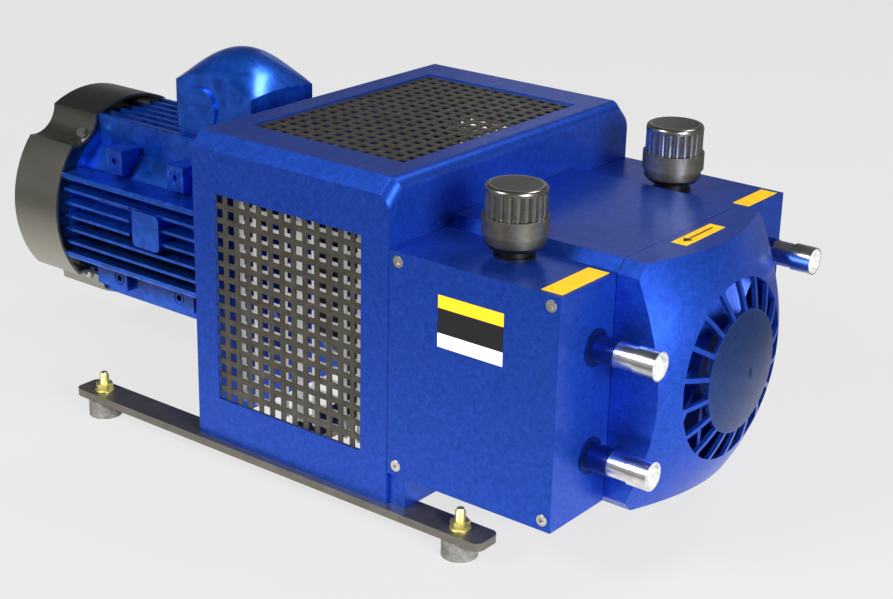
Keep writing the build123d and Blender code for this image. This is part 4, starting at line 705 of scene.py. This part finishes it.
# Labels: thin printed plates in yellow, black and white, with blank fields, and one plain arrow for
# the direction of turning on the fan cowl.
LABEL_THICKNESS = 0.0003
LABEL_EDGE_SHARE = 0.3
LABEL_GLOSS = (0.35, 0.5)
LABEL_WEAR_SCALE = 220.0
LABEL_WEAR_SHARES = (0.85, 1.08)
YELLOW = (0.90, 0.52, 0.012)
BLACK = (0.012, 0.012, 0.013)
WHITE = (0.80, 0.80, 0.78)


def label_print(name, colour):
    """Printed film with a slightly uneven gloss."""
    material, tree, output = new_material(name)
    body = node_of(tree, "ShaderNodeBsdfPrincipled", Specular_IOR_Level=0.2)
    place = tree.nodes.new("ShaderNodeTexCoord")
    wear = node_of(tree, "ShaderNodeTexNoise", Scale=LABEL_WEAR_SCALE, Detail=4.0)
    shade = ramp_of(tree, *((stop, [min(1, value * share) for value in colour])
                            for stop, share in enumerate(LABEL_WEAR_SHARES)))
    spread = node_of(tree, "ShaderNodeMapRange", To_Min=LABEL_GLOSS[0], To_Max=LABEL_GLOSS[1])
    tree.links.new(place.outputs["Object"], wear.inputs["Vector"])
    tree.links.new(wear.outputs["Fac"], shade.inputs["Fac"])
    tree.links.new(shade.outputs["Color"], body.inputs["Base Color"])
    tree.links.new(wear.outputs["Fac"], spread.inputs["Value"])
    tree.links.new(spread.outputs["Result"], body.inputs["Roughness"])
    tree.links.new(body.outputs[0], output.inputs["Surface"])
    return material


label_yellow = label_print("label_yellow", YELLOW)
label_black = label_print("label_black", BLACK)
label_white = label_print("label_white", WHITE)


def label_block(name, low, high, material):
    """Flat field of a label between two corners, with its edges eased."""
    middle = (Vector(low) + Vector(high)) / 2
    size = Vector(high) - Vector(low)
    bpy.ops.object.select_all(action="DESELECT")
    bpy.ops.mesh.primitive_cube_add(size=1)
    block = bpy.context.object
    block.name = name
    block.data.transform(Matrix.Diagonal((*size, 1)))
    eased = block.modifiers.new("eased", "BEVEL")
    eased.width = min(size) * LABEL_EDGE_SHARE
    eased.segments = 2
    bpy.ops.object.modifier_apply(modifier="eased")
    set_down(block, Matrix.Translation(middle), material, "frame")


SIDE_LABEL_ENDS = (0.2265, 0.296)
SIDE_LABEL_FIELDS = (("side_label_yellow", 0.234, 0.246, label_yellow),
                     ("side_label_dark", 0.211, 0.234, label_black),
                     ("side_label_white", 0.198, 0.211, label_white))
side_face = cover_low.y - LABEL_THICKNESS
for name, bottom, top, material in SIDE_LABEL_FIELDS:
    label_block(name, (SIDE_LABEL_ENDS[0], side_face, bottom), (SIDE_LABEL_ENDS[1], cover_low.y, top),
                material)

TOP_LABEL_NEAR = ((0.328, -0.184), (0.349, -0.114))
TOP_LABEL_FAR = ((0.331, 0.128), (0.348, 0.184))
ARROW_LABEL = ((0.3605, -0.034), (0.376, 0.033))
housing_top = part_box("chamber_housing_near")[1].z
cowl_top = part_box("fan_cowl")[1].z
for name, (low_corner, high_corner), foot in (("top_label_near", TOP_LABEL_NEAR, housing_top),
                                              ("top_label_far", TOP_LABEL_FAR, housing_top),
                                              ("arrow_label", ARROW_LABEL, cowl_top)):
    label_block(name, (*low_corner, foot), (*high_corner, foot + LABEL_THICKNESS), label_yellow)

ARROW_SHAFT = ((0.3672, -0.018), (0.3688, 0.024))
ARROW_HEAD_PLACE = (0.368, -0.0205)
ARROW_HEAD_RADIUS = 0.0055
arrow_top = cowl_top + 2 * LABEL_THICKNESS
label_block("arrow_shaft", (*ARROW_SHAFT[0], cowl_top + LABEL_THICKNESS), (*ARROW_SHAFT[1], arrow_top),
            label_black)
bpy.ops.object.select_all(action="DESELECT")
bpy.ops.mesh.primitive_cylinder_add(vertices=3, radius=ARROW_HEAD_RADIUS, depth=LABEL_THICKNESS)
arrow_head = bpy.context.object
arrow_head.name = "arrow_head"
arrow_place = Matrix.Translation((*ARROW_HEAD_PLACE, arrow_top - LABEL_THICKNESS / 2))
set_down(arrow_head, arrow_place @ Matrix.Rotation(math.radians(180), 4, "Z"), label_black, "frame")
